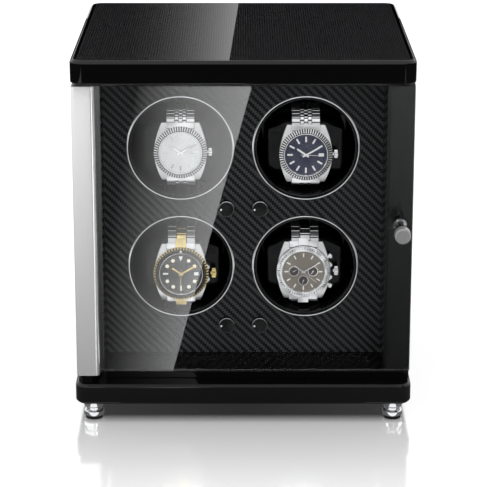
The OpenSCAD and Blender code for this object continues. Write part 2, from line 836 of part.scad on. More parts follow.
// A setting dial: dished face, and a stem that runs through the panel into its switch
module dial(side, row) {
    r = dial_dia / 2;
    color("#101011") translate([side * dial_dx / 2, panel_y, station_z(row) - dial_drop])
        rotate([90, 0, 0]) rotate_extrude() polygon([
            [0, -panel_t - dial_stem_depth], [dial_stem_r, -panel_t - dial_stem_depth],
            [dial_stem_r, dial_gap], [r, dial_gap], [r, dial_len - 0.6], [r - 0.6, dial_len],
            [r - 1.1, dial_len - 0.1], [0, dial_len - dial_dish]
        ]);
}
module dial_upper_left() dial(-1, 1);
module dial_upper_right() dial(1, 1);
module dial_lower_left() dial(-1, -1);
module dial_lower_right() dial(1, -1);

module dial_switches() {
    color("#2d4a6b") for (s = STATIONS)
        translate([s[0] * dial_dx / 2, 0, station_z(s[1]) - dial_drop]) difference() {
            block(-switch_side / 2, panel_back, -switch_side / 2, switch_side, switch_d, switch_side);
            rod(0, panel_back - cut, 0, dial_stem_r + 0.05, dial_stem_depth + 0.5 + cut);
        }
}

module control_board() {
    color("#2c6a3f") {
        difference() {
            block(-board_w / 2, board_y, mid_z - board_h / 2, board_w, board_t, board_h);
            for (sx = [-1, 1], sz = [-1, 1])
                rod(sx * board_post_x, board_y - cut, mid_z + sz * board_post_z,
                    small_screw_r, board_t + 2 * cut);
        }
        for (i = [0 : chip_count - 1])
            block(-chip[0] / 2, board_y + board_t,
                mid_z + (i - (chip_count - 1) / 2) * chip_pitch - chip[2] / 2,
                chip[0], chip[1], chip[2]);
        block(-connector[0] / 2, board_y + board_t, mid_z - board_h / 2 + connector_inset,
            connector[0], connector[1], connector[2]);
    }
}

// A panel socket in the rear cover: flange outside, barrel, nut inside and the centre pin
module power_inlet() {
    color("#1a1a1b") difference() {
        union() {
            rod(inlet_x, rear_y + cover_t, inlet_z, inlet_flange_r, inlet_flange_t);
            rod(inlet_x, rear_y + cover_t - inlet_len, inlet_z, inlet_body_r, inlet_len);
            rod(inlet_x, rear_y - inlet_nut_t, inlet_z, inlet_nut_r, inlet_nut_t);
        }
        rod(inlet_x, rear_y + cover_t + inlet_flange_t - inlet_depth, inlet_z,
            inlet_bore_r, inlet_depth + cut);
    }
    color("#b9a46a") rod(inlet_x, rear_y + cover_t + inlet_flange_t - inlet_depth, inlet_z,
        inlet_pin_r, inlet_depth - 1);
}

lid_board();
lid_inlay();
side_panel_left();
side_panel_right();
plinth();
deck_board();
rotor_panel();
drive_chassis();
back_panel();
rear_cover();
rear_cover_screws();
foot_front_left();
foot_front_right();
foot_rear_left();
foot_rear_right();
foot_pads();
plinth_screws();
pivot_lower();
pivot_upper();
catch_magnet();
door_bumpers();
power_inlet();
control_board();
trim_rings();
rotor_spindles();
rotor_screws();
drive_belts();
dial_switches();
chassis_screws();
motor_upper_left();
motor_upper_right();
motor_lower_left();
motor_lower_right();
pulley_upper_left();
pulley_upper_right();
pulley_lower_left();
pulley_lower_right();
cup_upper_left();
cup_upper_right();
cup_lower_left();
cup_lower_right();
cushion_upper_left();
cushion_upper_right();
cushion_lower_left();
cushion_lower_right();
watch_upper_left();
watch_upper_right();
watch_lower_left();
watch_lower_right();
dial_upper_left();
dial_upper_right();
dial_lower_left();
dial_lower_right();
door_glass();
hinge_post();
handle_strip();
strike_plate();
door_knob();
knob_collar();
knob_screw();
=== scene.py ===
"""The looks of a four-rotor watch winder box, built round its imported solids.

Pieces are drawn in millimetres and placed in metres. A drawing that faces the door has its x to
the right, its y up and its z out of the door.
"""

import math

import bmesh
import bpy
from mathutils import Matrix, Vector


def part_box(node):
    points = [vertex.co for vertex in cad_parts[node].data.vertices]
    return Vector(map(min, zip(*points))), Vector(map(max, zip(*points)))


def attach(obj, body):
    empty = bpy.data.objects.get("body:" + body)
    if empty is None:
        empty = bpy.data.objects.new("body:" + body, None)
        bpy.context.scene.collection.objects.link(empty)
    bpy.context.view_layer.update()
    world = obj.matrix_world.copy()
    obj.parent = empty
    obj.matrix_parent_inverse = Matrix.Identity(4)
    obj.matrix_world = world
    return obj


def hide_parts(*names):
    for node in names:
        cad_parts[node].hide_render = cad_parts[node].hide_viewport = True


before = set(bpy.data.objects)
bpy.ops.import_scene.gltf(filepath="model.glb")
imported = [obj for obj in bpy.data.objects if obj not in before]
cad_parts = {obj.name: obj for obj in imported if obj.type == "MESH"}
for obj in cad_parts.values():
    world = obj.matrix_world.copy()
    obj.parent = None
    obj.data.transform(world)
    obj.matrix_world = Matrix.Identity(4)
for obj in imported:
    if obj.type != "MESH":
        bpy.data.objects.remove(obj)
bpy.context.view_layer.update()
scene = bpy.context.scene

MM = 0.001
FACING = Matrix.Rotation(math.radians(90), 4, "X")
STATIONS = ("upper_left", "upper_right", "lower_left", "lower_right")


def node_box(node):
    """A node's lowest and highest corners, in millimetres."""
    low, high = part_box(node)
    return Vector(low) / MM, Vector(high) / MM


# ---------------- drawings

def block(width, depth, height, at=(0, 0, 0)):
    """A box round a point."""
    bm = bmesh.new()
    place = Matrix.Translation(at) @ Matrix.Diagonal((width, depth, height, 1))
    bmesh.ops.create_cube(bm, size=1, matrix=place)
    return bm


def turned(profile, steps=96, closed=False):
    """A solid turned round z from (radius, z) points; a closed profile gives a ring."""
    bm = bmesh.new()
    points = [bm.verts.new((radius, 0, z)) for radius, z in profile]
    ends = points + points[:1] if closed else points
    edges = [bm.edges.new(pair) for pair in zip(ends, ends[1:])]
    bmesh.ops.spin(bm, geom=points + edges, cent=(0, 0, 0), axis=(0, 0, 1), angle=math.tau,
                   steps=steps, use_merge=True)
    bmesh.ops.remove_doubles(bm, verts=bm.verts, dist=0.0005)
    bmesh.ops.recalc_face_normals(bm, faces=bm.faces)
    return bm


def extruded(outline, low, high):
    """A solid with an outline in x and y, between two heights."""
    bm = bmesh.new()
    face = bm.faces.new([bm.verts.new((x, y, low)) for x, y in outline])
    grown = bmesh.ops.extrude_face_region(bm, geom=[face])["geom"]
    top = [v for v in grown if isinstance(v, bmesh.types.BMVert)]
    bmesh.ops.translate(bm, verts=top, vec=(0, 0, high - low))
    bmesh.ops.recalc_face_normals(bm, faces=bm.faces)
    return bm


def sharp(bm, degrees):
    """The edges whose faces meet at more than an angle."""
    limit = math.radians(degrees)
    return [e for e in bm.edges if e.is_manifold and e.calc_face_angle() > limit]


def along(bm, axis):
    """The edges that run along an axis."""
    return [e for e in bm.edges if abs((e.verts[0].co - e.verts[1].co).normalized()[axis]) > 0.999]


def soften(bm, edges, width, segments=2):
    """Rounds edges, or bevels them where there is one segment."""
    bmesh.ops.bevel(bm, geom=edges, offset=width, offset_type="OFFSET", segments=segments,
                    profile=0.5, affect="EDGES", clamp_overlap=True, material=-1)
    return bm


def stamp(target, part, place=Matrix.Identity(4)):
    """Adds a copy of one drawing to another, at a place."""
    mesh = bpy.data.meshes.new("stamp")
    part.to_mesh(mesh)
    count = len(target.verts)
    target.from_mesh(mesh)
    bpy.data.meshes.remove(mesh)
    target.verts.ensure_lookup_table()
    bmesh.ops.transform(target, matrix=place, verts=target.verts[count:])
    return target


def repeated(part, places):
    """Copies of one drawing at several places, as one drawing."""
    bm = bmesh.new()
    for place in places:
        stamp(bm, part, place)
    return bm


def clock(degrees, radius=0.0, z=0.0):
    """A place on a dial: turned clockwise from twelve, and out from the middle."""
    return Matrix.Rotation(-math.radians(degrees), 4, "Z") @ Matrix.Translation((0, radius, z))


def new_object(name, bm, material):
    """Makes an object of a drawing, in one material."""
    mesh = bpy.data.meshes.new(name)
    bm.to_mesh(mesh)
    bm.free()
    mesh.materials.append(material)
    made = bpy.data.objects.new(name, mesh)
    scene.collection.objects.link(made)
    return made


def new_piece(name, bm, body, finish, at=(0, 0, 0), facing=False, smooth=35, stands_for=()):
    """Makes a piece of a drawing, with its place in its mesh, and gives it to a body."""
    turn = FACING if facing else Matrix.Identity(4)
    bm.transform(Matrix.Scale(MM, 4) @ Matrix.Translation(at) @ turn)
    piece = new_object(name, bm, finish)
    piece.data.shade_smooth()
    piece.data.set_sharp_from_angle(angle=math.radians(smooth))
    piece.modifiers.new("even_normals", "WEIGHTED_NORMAL").keep_sharp = True
    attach(piece, body)
    if stands_for:
        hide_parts(*stands_for)
    return piece


# ---------------- finishes

WHITE = (1, 1, 1, 1)
GLASS_IOR = 1.5
NOISE_SPAN = (0.3, 0.7)  # the range that most values of a noise texture lie in
FIBRES_PER_M = (9000, 9000, 600)


def linear(hex_colour):
    """The linear colour of an sRGB hex value."""
    parts = [int(hex_colour[i:i + 2], 16) / 255 for i in (1, 3, 5)]
    return [c / 12.92 if c <= 0.04045 else ((c + 0.055) / 1.055) ** 2.4 for c in parts] + [1]


def add_node(tree, kind, inputs=None, **settings):
    """Adds a node; its inputs are values, sockets, or nodes that give their first output."""
    node = tree.nodes.new("ShaderNode" + kind)
    for name, value in settings.items():
        setattr(node, name, value)
    for socket, value in (inputs or {}).items():
        if isinstance(value, bpy.types.Node):
            value = value.outputs[0]
        if isinstance(value, bpy.types.NodeSocket):
            tree.links.new(value, node.inputs[socket])
        else:
            node.inputs[socket].default_value = value
    return node


def maths(tree, operation, *values, **settings):
    """Adds a Math node over one to three values."""
    return add_node(tree, "Math", dict(enumerate(values)), operation=operation, **settings)


def mapped(tree, value, to, start=(0.0, 1.0)):
    """Maps a value from its starting range to another, and holds it there at both ends."""
    return add_node(tree, "MapRange", {0: value, 1: start[0], 2: start[1], 3: to[0], 4: to[1]})


def show(tree, node):
    """Makes a node's first output the material's surface."""
    tree.links.new(node.outputs[0], tree.nodes["Material Output"].inputs["Surface"])


def new_finish(name, colour, metallic=0.0, roughness=0.5, **more):
    """A material, its tree and its shader; more names further sockets with _ for a space."""
    material = bpy.data.materials.new(name)
    material.use_nodes = True
    tree = material.node_tree
    shader = tree.nodes["Principled BSDF"]
    values = {"Base_Color": linear(colour), "Metallic": metallic, "Roughness": roughness, **more}
    for socket, value in values.items():
        shader.inputs[socket.replace("_", " ")].default_value = value
    return material, tree, shader


def grained(name, colour, metallic, rough, size, relief, stretch=(1, 1, 1), **more):
    """A finish of one colour with a grain of a size in mm: it varies the roughness between two
    values and stands up in mm."""
    material, tree, shader = new_finish(name, colour, metallic, rough[0], **more)
    coords = add_node(tree, "TexCoord").outputs["Object"]
    scale = [s / (size * MM) for s in stretch]
    place = add_node(tree, "Mapping", {"Vector": coords, "Scale": scale})
    noise = add_node(tree, "TexNoise", {"Vector": place, "Scale": 1.0, "Detail": 3.0})
    shine = mapped(tree, noise, rough, NOISE_SPAN)
    tree.links.new(shine.outputs[0], shader.inputs["Roughness"])
    bump = add_node(tree, "Bump", {"Height": noise, "Distance": relief * MM, "Strength": 1.0})
    tree.links.new(bump.outputs[0], shader.inputs["Normal"])
    return material


def woven(name, cell, up, dark, light, harness, under, groove, rough, relief, **more):
    """A woven laminate: tows of a width in mm run along x and along another axis, and each crosses
    half of a harness of tows over the other set, one tow further along in each row. Tows below show
    a share of the light tone, and the grooves between tows take a share away as painted shade. Each
    tow's crown is painted lighter than its sides as a painted sheen, and fine streaks along the
    fibres are painted glints."""
    material, tree, shader = new_finish(name, dark, 0.0, rough, **more)
    coords = add_node(tree, "TexCoord").outputs["Object"]
    place = add_node(tree, "Mapping", {"Vector": coords, "Scale": [1 / (cell * MM)] * 3})
    axes = add_node(tree, "SeparateXYZ", {"Vector": place})
    u, v = axes.outputs["X"], axes.outputs[up]
    row = maths(tree, "ADD", maths(tree, "FLOOR", u), maths(tree, "FLOOR", v))
    turn = maths(tree, "FLOORED_MODULO", row, harness)
    over = maths(tree, "LESS_THAN", turn, harness / 2 - 0.5)
    crowns = [maths(tree, "SINE", maths(tree, "MULTIPLY", maths(tree, "FRACT", axis), math.pi))
              for axis in (u, v)]
    crown = add_node(tree, "Mix", {0: over, 2: crowns[1], 3: crowns[0]}, data_type="FLOAT")
    lift = mapped(tree, over, (under, 1.0))
    # painted shade: the grooves between tows are darker
    edge = mapped(tree, crowns[0], (1 - groove, 1.0))
    # painted sheen: each tow's crown is lighter than its sides
    painted_crown_sheen = mapped(tree, crown, (0.6, 1.0))
    tone = maths(tree, "MULTIPLY", maths(tree, "MULTIPLY", lift, edge), painted_crown_sheen)
    # painted glints: fine streaks along the fibres
    fibre_place = add_node(tree, "Mapping", {"Vector": coords, "Scale": FIBRES_PER_M})
    fibre = add_node(tree, "TexNoise", {"Vector": fibre_place, "Scale": 1.0})
    painted_fibre_glint = mapped(tree, fibre, (0.8, 1.1), NOISE_SPAN)
    shown = maths(tree, "MULTIPLY", tone, painted_fibre_glint, use_clamp=True)
    colour = add_node(tree, "Mix", {0: shown, 6: linear(dark), 7: linear(light)}, data_type="RGBA")
    tree.links.new(colour.outputs[2], shader.inputs["Base Color"])
    bump = add_node(tree, "Bump", {"Height": crown, "Distance": relief * MM, "Strength": 0.6})
    tree.links.new(bump.outputs[0], shader.inputs["Normal"])
    return material


def clear_pane(name, tint):
    """A clear hard pane: light passes straight through, and both sides of a face mirror alike."""
    material, tree, shader = new_finish(name, tint)
    tree.nodes.remove(shader)
    inside = add_node(tree, "NewGeometry").outputs["Backfacing"]
    index = mapped(tree, inside, (GLASS_IOR, 1 / GLASS_IOR))
    mirrored = add_node(tree, "Fresnel", {"IOR": index})
    through = add_node(tree, "BsdfTransparent", {"Color": linear(tint)})
    gloss = add_node(tree, "BsdfGlossy", {"Color": WHITE, "Roughness": 0.0})
    show(tree, add_node(tree, "MixShader", {0: mirrored, 1: through, 2: gloss}))
    return material


# Black polyester lacquer, sprayed and polished on fibreboard: mirror-like, with faint long waves
lacquer = grained("piano_lacquer", "#080809", 0.0, (0.03, 0.05), 18, 0.004,
                  Specular_IOR_Level=0.42)
# Dark twill laminate under satin film
# Its tow crowns carry a painted sheen, and its fibres painted glints.
twill = woven("twill_laminate", 1.71, "Z", "#060607", "#3c3c3e", 4, 0.0, 0.0, 0.42, 0.05,
              Specular_IOR_Level=0.12)
# The same cloth in a fine plain weave under polished resin, drawn about twice as coarse to show
# Its deep grooves between tows are painted shade, and its tow crowns carry a painted sheen.
lid_weave = woven("polished_plain_weave", 1.9, "Y", "#000001", "#4a4a4c", 2, 0.35, 1.4, 0.4, 0.02,
                  Specular_IOR_Level=0.0, Coat_Weight=1.0, Coat_Roughness=0.02)
# Extruded aluminium, brushed along its length and clear anodised: pale, with a long sheen
anodised = grained("anodised_aluminium", "#f2f2f2", 0.8, (0.2, 0.26), 0.25, 0.001,
                   (1, 1, 0.02))
# Bright chrome plating: a mirror with faint polishing marks
chrome = grained("chrome_plate", "#f0f1f3", 1.0, (0.04, 0.08), 0.5, 0.0004)
# Satin nickel on a turned brass knob: pale grey and silky
satin_nickel = grained("satin_nickel", "#9c9c9c", 0.45, (0.26, 0.34), 0.3, 0.002)
# Float glass with polished edges: clear, faintly green
float_glass = clear_pane("float_glass", "#fdfefe")
# Mineral watch crystal: clear, with no tint
watch_crystal = clear_pane("mineral_crystal", "#ffffff")
# Black paint fired on the back of a strip: smooth, half gloss
black_strip = grained("black_enamel_strip", "#0c0c0d", 0.0, (0.12, 0.18), 1.5, 0.002)
# Moulded ABS: black, half gloss, with slight flow waves
gloss_abs = grained("moulded_abs", "#0b0b0c", 0.0, (0.12, 0.2), 6, 0.01, Specular_IOR_Level=0.2)
# The same plastic in the cups, a shade greyer: a lighter copy that paints in the light their deep
# insides lack
cup_abs_painted_lighter = grained("gloss_cup_abs", "#101011", 0.0, (0.08, 0.14), 6, 0.01, Specular_IOR_Level=0.25)
# Black chrome on the knob's neck and collar and the dials' bevels: a smoky mirror
black_chrome = grained("black_chrome", "#98989b", 1.0, (0.08, 0.14), 0.5, 0.001)
# Near black: painted shade in the grooves between a bezel's ribs, and the dark ink of a bezel's
# scale
rib_shade_and_scale_ink = grained("painted_rib_shade_and_scale_ink", "#101012", 0.0, (0.4, 0.5), 0.2, 0.001)
# Textured ABS: dark grey, spark-eroded grain, finer on the rear cover
textured_abs = grained("spark_grain_abs", "#26272a", 0.0, (0.5, 0.62), 0.6, 0.03)
cover_abs = grained("fine_grain_abs", "#17171a", 0.0, (0.46, 0.6), 0.5, 0.03)
# Soft polyurethane leather: black, with a fine pebble grain
soft_leather = grained("black_pu_leather", "#040405", 0.0, (0.18, 0.28), 0.9, 0.03,
                       Specular_IOR_Level=0.22)
# Natural rubber: matt black
rubber = grained("matt_rubber", "#141415", 0.0, (0.75, 0.85), 0.4, 0.02)
# Zinc-plated steel: pale grey with a slight bluish cloud
zinc_steel = grained("zinc_plated_steel", "#b9bdc2", 1.0, (0.28, 0.42), 1.2, 0.002)
# Blackened steel: dark, oiled, half matt
black_steel = grained("blackened_steel", "#1b1b1d", 1.0, (0.34, 0.46), 0.8, 0.002)
# Nickel plating on a magnet and its strike plate
nickel = grained("nickel_plate", "#a8a39a", 1.0, (0.16, 0.24), 0.8, 0.001)
# Turned brass pulley: yellow, with fine turning rings
turned_brass = grained("turned_brass", "#c79a4a", 1.0, (0.2, 0.32), 0.12, 0.003, (0.05, 1, 0.05))
# Printed circuit board: green solder mask over copper
solder_mask = grained("green_solder_mask", "#1f5a36", 0.0, (0.3, 0.42), 2.5, 0.03)
# Moulded blue nylon of a rotary switch
blue_nylon = grained("blue_nylon", "#274a78", 0.0, (0.4, 0.5), 0.7, 0.01)

# Watch steel, polished to a mirror, and brushed in fine lines
polished_steel = grained("polished_steel", "#e8e8ea", 1.0, (0.08, 0.14), 0.6, 0.0005)
brushed_steel = grained("brushed_steel", "#e6e6e7", 1.0, (0.26, 0.36), 0.12, 0.003, (1, 1, 0.03))
# Yellow gold plating on polished and brushed steel
polished_gold = grained("polished_gold", "#edd79a", 1.0, (0.1, 0.18), 0.6, 0.0005)
# Silver-white sprayed dial, fine and slightly metallic
white_dial = grained("silver_white_dial", "#e6e6e7", 0.4, (0.3, 0.4), 0.1, 0.001)
# Blue lacquered sunray dial
blue_dial = grained("blue_sunray_dial", "#171c40", 0.2, (0.26, 0.36), 0.1, 0.002)
# Gloss black lacquered dial
black_dial = grained("black_lacquer_dial", "#101113", 0.0, (0.1, 0.16), 0.5, 0.001)
# Warm grey sunray dial, and the darker silk of its small dials
grey_dial = grained("warm_grey_dial", "#857c72", 0.35, (0.3, 0.4), 0.1, 0.002)
dark_silk = grained("dark_counter", "#3a332d", 0.0, (0.3, 0.4), 0.1, 0.002)
# Brown-black ceramic of a turning bezel: hard gloss
dark_ceramic = grained("dark_ceramic", "#241a12", 0.0, (0.08, 0.12), 1.0, 0.0005)
# Luminous paint in the markers: off-white, matt
luminous = grained("luminous_paint", "#f3f3f1", 0.0, (0.5, 0.6), 0.2, 0.004)
# White printing ink of the setting dials' dots
white_ink = grained("white_ink", "#f0f0f0", 0.0, (0.5, 0.6), 0.3, 0.002)


# ---------------- cabinet

# How far edges are rounded, and how far the inlay stands above the lid
LACQUER_EASE, BOARD_EASE, PANE_EASE = 0.35, 0.6, 0.5
CORNER_R = 10
LID_BEVEL, PLINTH_BEVEL = 2.0, 1.8
INLAY_PROUD = 0.05


def cabinet_slab(node, bevel, top_drop=0.0):
    """The lid or the plinth: rounded corners and bevelled edges, eased by the lacquer."""
    low, high = node_box(node)
    high.z -= top_drop
    bm = block(*(high - low))
    soften(bm, along(bm, 2), CORNER_R, 12)
    soften(bm, sharp(bm, 80), bevel, 1)
    soften(bm, sharp(bm, 30), LACQUER_EASE, 2)
    new_piece(node + "_lacquered", bm, "root", lacquer, at=(low + high) / 2, smooth=25,
              stands_for=[node])


cabinet_slab("lid_board", LID_BEVEL, INLAY_PROUD)
cabinet_slab("plinth", PLINTH_BEVEL)


def eased_board(node, name, body, finish, ease, segments):
    """A flat board or pane with its edges rounded, or ground where there is one segment."""
    low, high = node_box(node)
    bm = block(*(high - low))
    soften(bm, sharp(bm, 80), ease, segments)
    new_piece(name, bm, body, finish, at=(low + high) / 2, stands_for=[node])


for node in ("side_panel_left", "deck_board"):
    eased_board(node, node + "_eased", "root", lacquer, BOARD_EASE, 3)


# ---------------- feet

def turned_foot(node):
    """A chromed foot: a disc under the plinth, a round groove and a wider base with a bead."""
    low, high = node_box(node)
    middle = (low + high) / 2
    radius = (high.x - low.x) / 2
    neck = radius - 1.9
    disc = radius - 0.2
    foot, top = low.z, node_box("plinth")[0].z
    profile = [(0, foot), (radius - 1.2, foot), (radius, foot + 0.9), (radius, foot + 4.2),
               (radius - 0.7, foot + 4.9), (neck, foot + 5.3), (neck, foot + 7.2),
               (radius - 0.7, foot + 7.7), (disc, foot + 8.4), (disc, top - 0.6),
               (radius - 0.8, top), (0, top)]
    bm = turned(profile, 64)
    soften(bm, sharp(bm, 25), 0.22, 2)
    new_piece(node + "_turned", bm, "root", chrome, at=(middle.x, middle.y, 0),
              stands_for=[node])


for corner in ("front_left", "front_right", "rear_left", "rear_right"):
    turned_foot("foot_" + corner)


# ---------------- door

def door_post():
    """The extruded hinge post: a box with small front corners and large rear ones."""
    low, high = node_box("hinge_post")
    bm = block(*(high - low))
    for side, radius, segments in ((-1, 3, 8), (1, 6, 10)):
        corners = [e for e in along(bm, 2) if side * e.verts[0].co.y > 0]
        soften(bm, corners, radius, segments)
    soften(bm, sharp(bm, 80), 0.3, 2)
    new_piece("hinge_post_extruded", bm, "door", anodised,
              at=(low + high) / 2, stands_for=["hinge_post"])


def turned_knob():
    """A turned knob: a flat face in a rounded rim on a dark waisted neck, over a domed collar."""
    low, high = node_box("door_knob")
    collar_low, collar_high = node_box("knob_collar")
    middle = (low + high) / 2
    length = high.y - low.y
    head = (high.x - low.x) / 2
    at = (middle.x, high.y, middle.z)
    back = length - 8.8
    neck_end = back + 0.4
    neck = turned([(0, 0), (4, 0), (4, 1), (3.2, 2.4), (3, 5), (3, neck_end - 4.1),
                   (3.6, neck_end - 2.2), (3.6, neck_end), (0, neck_end)], 72)
    new_piece("door_knob_neck", neck, "door", black_chrome, at=at, facing=True,
              stands_for=["door_knob"])
    bm = turned([(0, back), (head - 1.2, back), (head, back + 0.8), (head, length - 1.1),
                 (head - 1.1, length), (0, length)], 72)
    soften(bm, sharp(bm, 20), 0.35, 3)
    new_piece("door_knob_head", bm, "door", satin_nickel, at=at, facing=True,
              stands_for=["door_knob"])
    radius = (collar_high.x - collar_low.x) / 2
    height = collar_high.y - collar_low.y
    bm = turned([(0, 0), (radius, 0), (radius, 1.2), (radius - 0.5, 2.2), (radius - 1.4, height),
                 (0, height)], 64)
    soften(bm, sharp(bm, 15), 0.3, 2)
    new_piece("knob_collar_domed", bm, "door", black_chrome,
              at=(middle.x, collar_high.y, middle.z), facing=True, stands_for=["knob_collar"])


door_post()
eased_board("door_glass", "door_pane", "door", float_glass, PANE_EASE, 1)
turned_knob()


# ---------------- rotors

panel_front, panel_back = [corner.y for corner in node_box("rotor_panel")]
cup_low, cup_high = node_box("cup_upper_left")
cup_radius = (cup_high.x - cup_low.x) / 2
cup_inner = cup_radius - 1.8
CUP_DEPTH = 69


def station(name):
    """Where a rotor's axis meets the panel's front."""
    low, high = node_box("cup_" + name)
    return Vector(((low.x + high.x) / 2, panel_front, (low.z + high.z) / 2))


def trim_rings():
    """Four chromed rings in the panel, each with a slim rounded lip in a shadow gap."""
    inner = cup_radius + 0.5
    outer = inner + 1.3
    lip = inner + 0.8
    proud = panel_front - node_box("trim_rings")[0].y
    back = panel_front - panel_back
    profile = [(inner, back), (outer, back), (outer, back + 1), (lip, back + 1), (lip, proud),
               (inner, proud)]
    ring = turned(profile, 144, closed=True)
    soften(ring, [e for e in sharp(ring, 60) if e.verts[0].co.z > 0], 0.36, 4)
    first = station(STATIONS[0])
    bm = repeated(ring, [Matrix.Translation(FACING.inverted() @ (station(name) - first))
                         for name in STATIONS])
    new_piece("trim_rings_lipped", bm, "root", chrome, at=first, facing=True,
              stands_for=["trim_rings"])


def rotor_cup(name):
    """A deep gloss cup with a rounded mouth and a fillet round its floor, on a grooved pulley."""
    low, high = node_box("cup_" + name)
    front = panel_front - low.y
    back = front - (high.y - low.y)
    inside_z = front - CUP_DEPTH
    outside_z = inside_z - 3
    bore, fillet, lip = 5.1, 4.5, 0.6
    flange, groove, flange_t = 22.5, 20, 2.5
    arc = [(cup_inner - fillet + fillet * math.cos(a), inside_z + fillet - fillet * math.sin(a))
           for a in [math.radians(i * 15) for i in range(7)]]
    profile = [(cup_inner, front - lip), (cup_inner + lip, front), (cup_radius - lip, front),
               (cup_radius, front - lip), (cup_radius, outside_z), (flange, outside_z),
               (flange, outside_z - flange_t), (groove, outside_z - flange_t),
               (groove, back + flange_t), (flange, back + flange_t), (flange, back), (bore, back),
               (bore, inside_z)] + arc[::-1]
    bm = turned(profile, 120, closed=True)
    new_piece("cup_%s_moulded" % name, bm, "rotor_" + name, cup_abs_painted_lighter,
              at=station(name), facing=True, stands_for=["cup_" + name])


trim_rings()
for name in STATIONS:
    rotor_cup(name)


# ---------------- cushions

# The cloth's mesh size, its swelling and steps; the tapered ends; the seams; the gap to the cup
VOXEL, SWELL = 4, 2.0
CLOTH_STEPS = 20
CUT_X, CUT_UP = 14, 10
SEAM_X, SEAM_W, SEAM_DEEP = 22, 2.6, 0.9
COVER_GAP = 0.3


def plump(piece, voxel, cap):
    """Swells a closed shape as cloth under pressure, with each point held within a cap."""
    piece.modifiers.clear()
    remesh = piece.modifiers.new("remesh", "REMESH")
    remesh.mode = "VOXEL"
    remesh.voxel_size = voxel * MM
    bpy.context.view_layer.objects.active = piece
    with bpy.context.temp_override(object=piece, active_object=piece):
        bpy.ops.object.modifier_apply(modifier=remesh.name)
    start = [v.co.copy() for v in piece.data.vertices]
    cloth = piece.modifiers.new("cloth", "CLOTH")
    cloth.settings.use_pressure = True
    cloth.settings.uniform_pressure_force = 4
    cloth.settings.effector_weights.gravity = 0
    for step in range(1, CLOTH_STEPS + 1):
        scene.frame_set(step)
    swollen = piece.evaluated_get(bpy.context.evaluated_depsgraph_get())
    ends = [v.co.copy() for v in swollen.data.vertices]
    piece.modifiers.remove(cloth)
    scene.frame_set(1)
    for vertex, old, new in zip(piece.data.vertices, start, ends):
        shift = new - old
        if shift.length > cap * MM:
            shift *= cap * MM / shift.length
        vertex.co = old + shift
    piece.data.update()


def fill_box(piece, middle, half):
    """Spreads a piece's points until it reaches a given distance from its middle each way."""
    points = [v.co for v in piece.data.vertices]
    for axis in range(3):
        reach = max(abs(point[axis] - middle[axis]) for point in points)
        for point in points:
            point[axis] = middle[axis] + (point[axis] - middle[axis]) * half[axis] / reach


def watch_cushion(name):
    """A padded bar across its cup: full in the middle, and tapered to its ends."""
    low, high = node_box("cushion_" + name)
    size = high - low
    middle = (low + high) / 2
    bm = block(size.x - 2 * SWELL, size.z - 2 * SWELL, size.y - 2 * SWELL)
    soften(bm, along(bm, 0), 12, 6)
    half_x, half_y = size.x / 2 - SWELL, size.z / 2 - SWELL
    for sx in (-1, 1):
        for sy in (-1, 1):
            cut = bmesh.ops.bisect_plane(
                bm, geom=bm.verts[:] + bm.edges[:] + bm.faces[:], clear_outer=True,
                plane_co=(sx * (half_x - CUT_X), sy * half_y, 0),
                plane_no=(sx * CUT_UP, sy * CUT_X, 0))
            rim = [e for e in cut["geom_cut"] if isinstance(e, bmesh.types.BMEdge)]
            bmesh.ops.holes_fill(bm, edges=rim)
    bmesh.ops.recalc_face_normals(bm, faces=bm.faces)
    piece = new_piece("cushion_%s_padded" % name, bm, "holder_" + name,
                      soft_leather, at=middle, facing=True, smooth=80,
                      stands_for=["cushion_" + name])
    plump(piece, VOXEL, SWELL)
    fill_box(piece, middle * MM, (size / 2 - Vector([COVER_GAP] * 3)) * MM)
    for vertex in piece.data.vertices:
        near = 1 - abs(abs(vertex.co.x - middle.x * MM) - SEAM_X * MM) / (SEAM_W * MM)
        vertex.co -= vertex.normal * SEAM_DEEP * MM * max(0, near)
    rounding = piece.modifiers.new("rounding", "SUBSURF")
    rounding.levels = rounding.render_levels = 1
    piece.data.shade_smooth()


for name in STATIONS:
    watch_cushion(name)


# ---------------- watches

# The case in mm from its middle, z out of the wrist: the lugs' tips and the gap between them, the
# middle case, the bezel and the dial; then the loop of the bracelet and what the case takes of it
LUG_TIP = (14.3, 22.3)
LUG_GAP = 10.8
END_LINK_Y = 17.8
CASE_LOW, CASE_TOP = -10.3, -3.4
BEZEL_R = 20.0
DIAL_R = 16.0
DIAL_Z = -2.2
LOOP_UP, LOOP_BACK, LOOP_R = 28.8, 20.8, 12.5
LOOP_AT = (0, 1, -29.8)
CASE_DEEP, CASE_HALF = 2.2, 19
STEM_Z = -5.25
TEN_TEN = (305, 60)
HAND_Z = (-1.55, -1.3, -1.05)
HOURS = range(1, 13)
HOUR, MINUTE = 30, 6


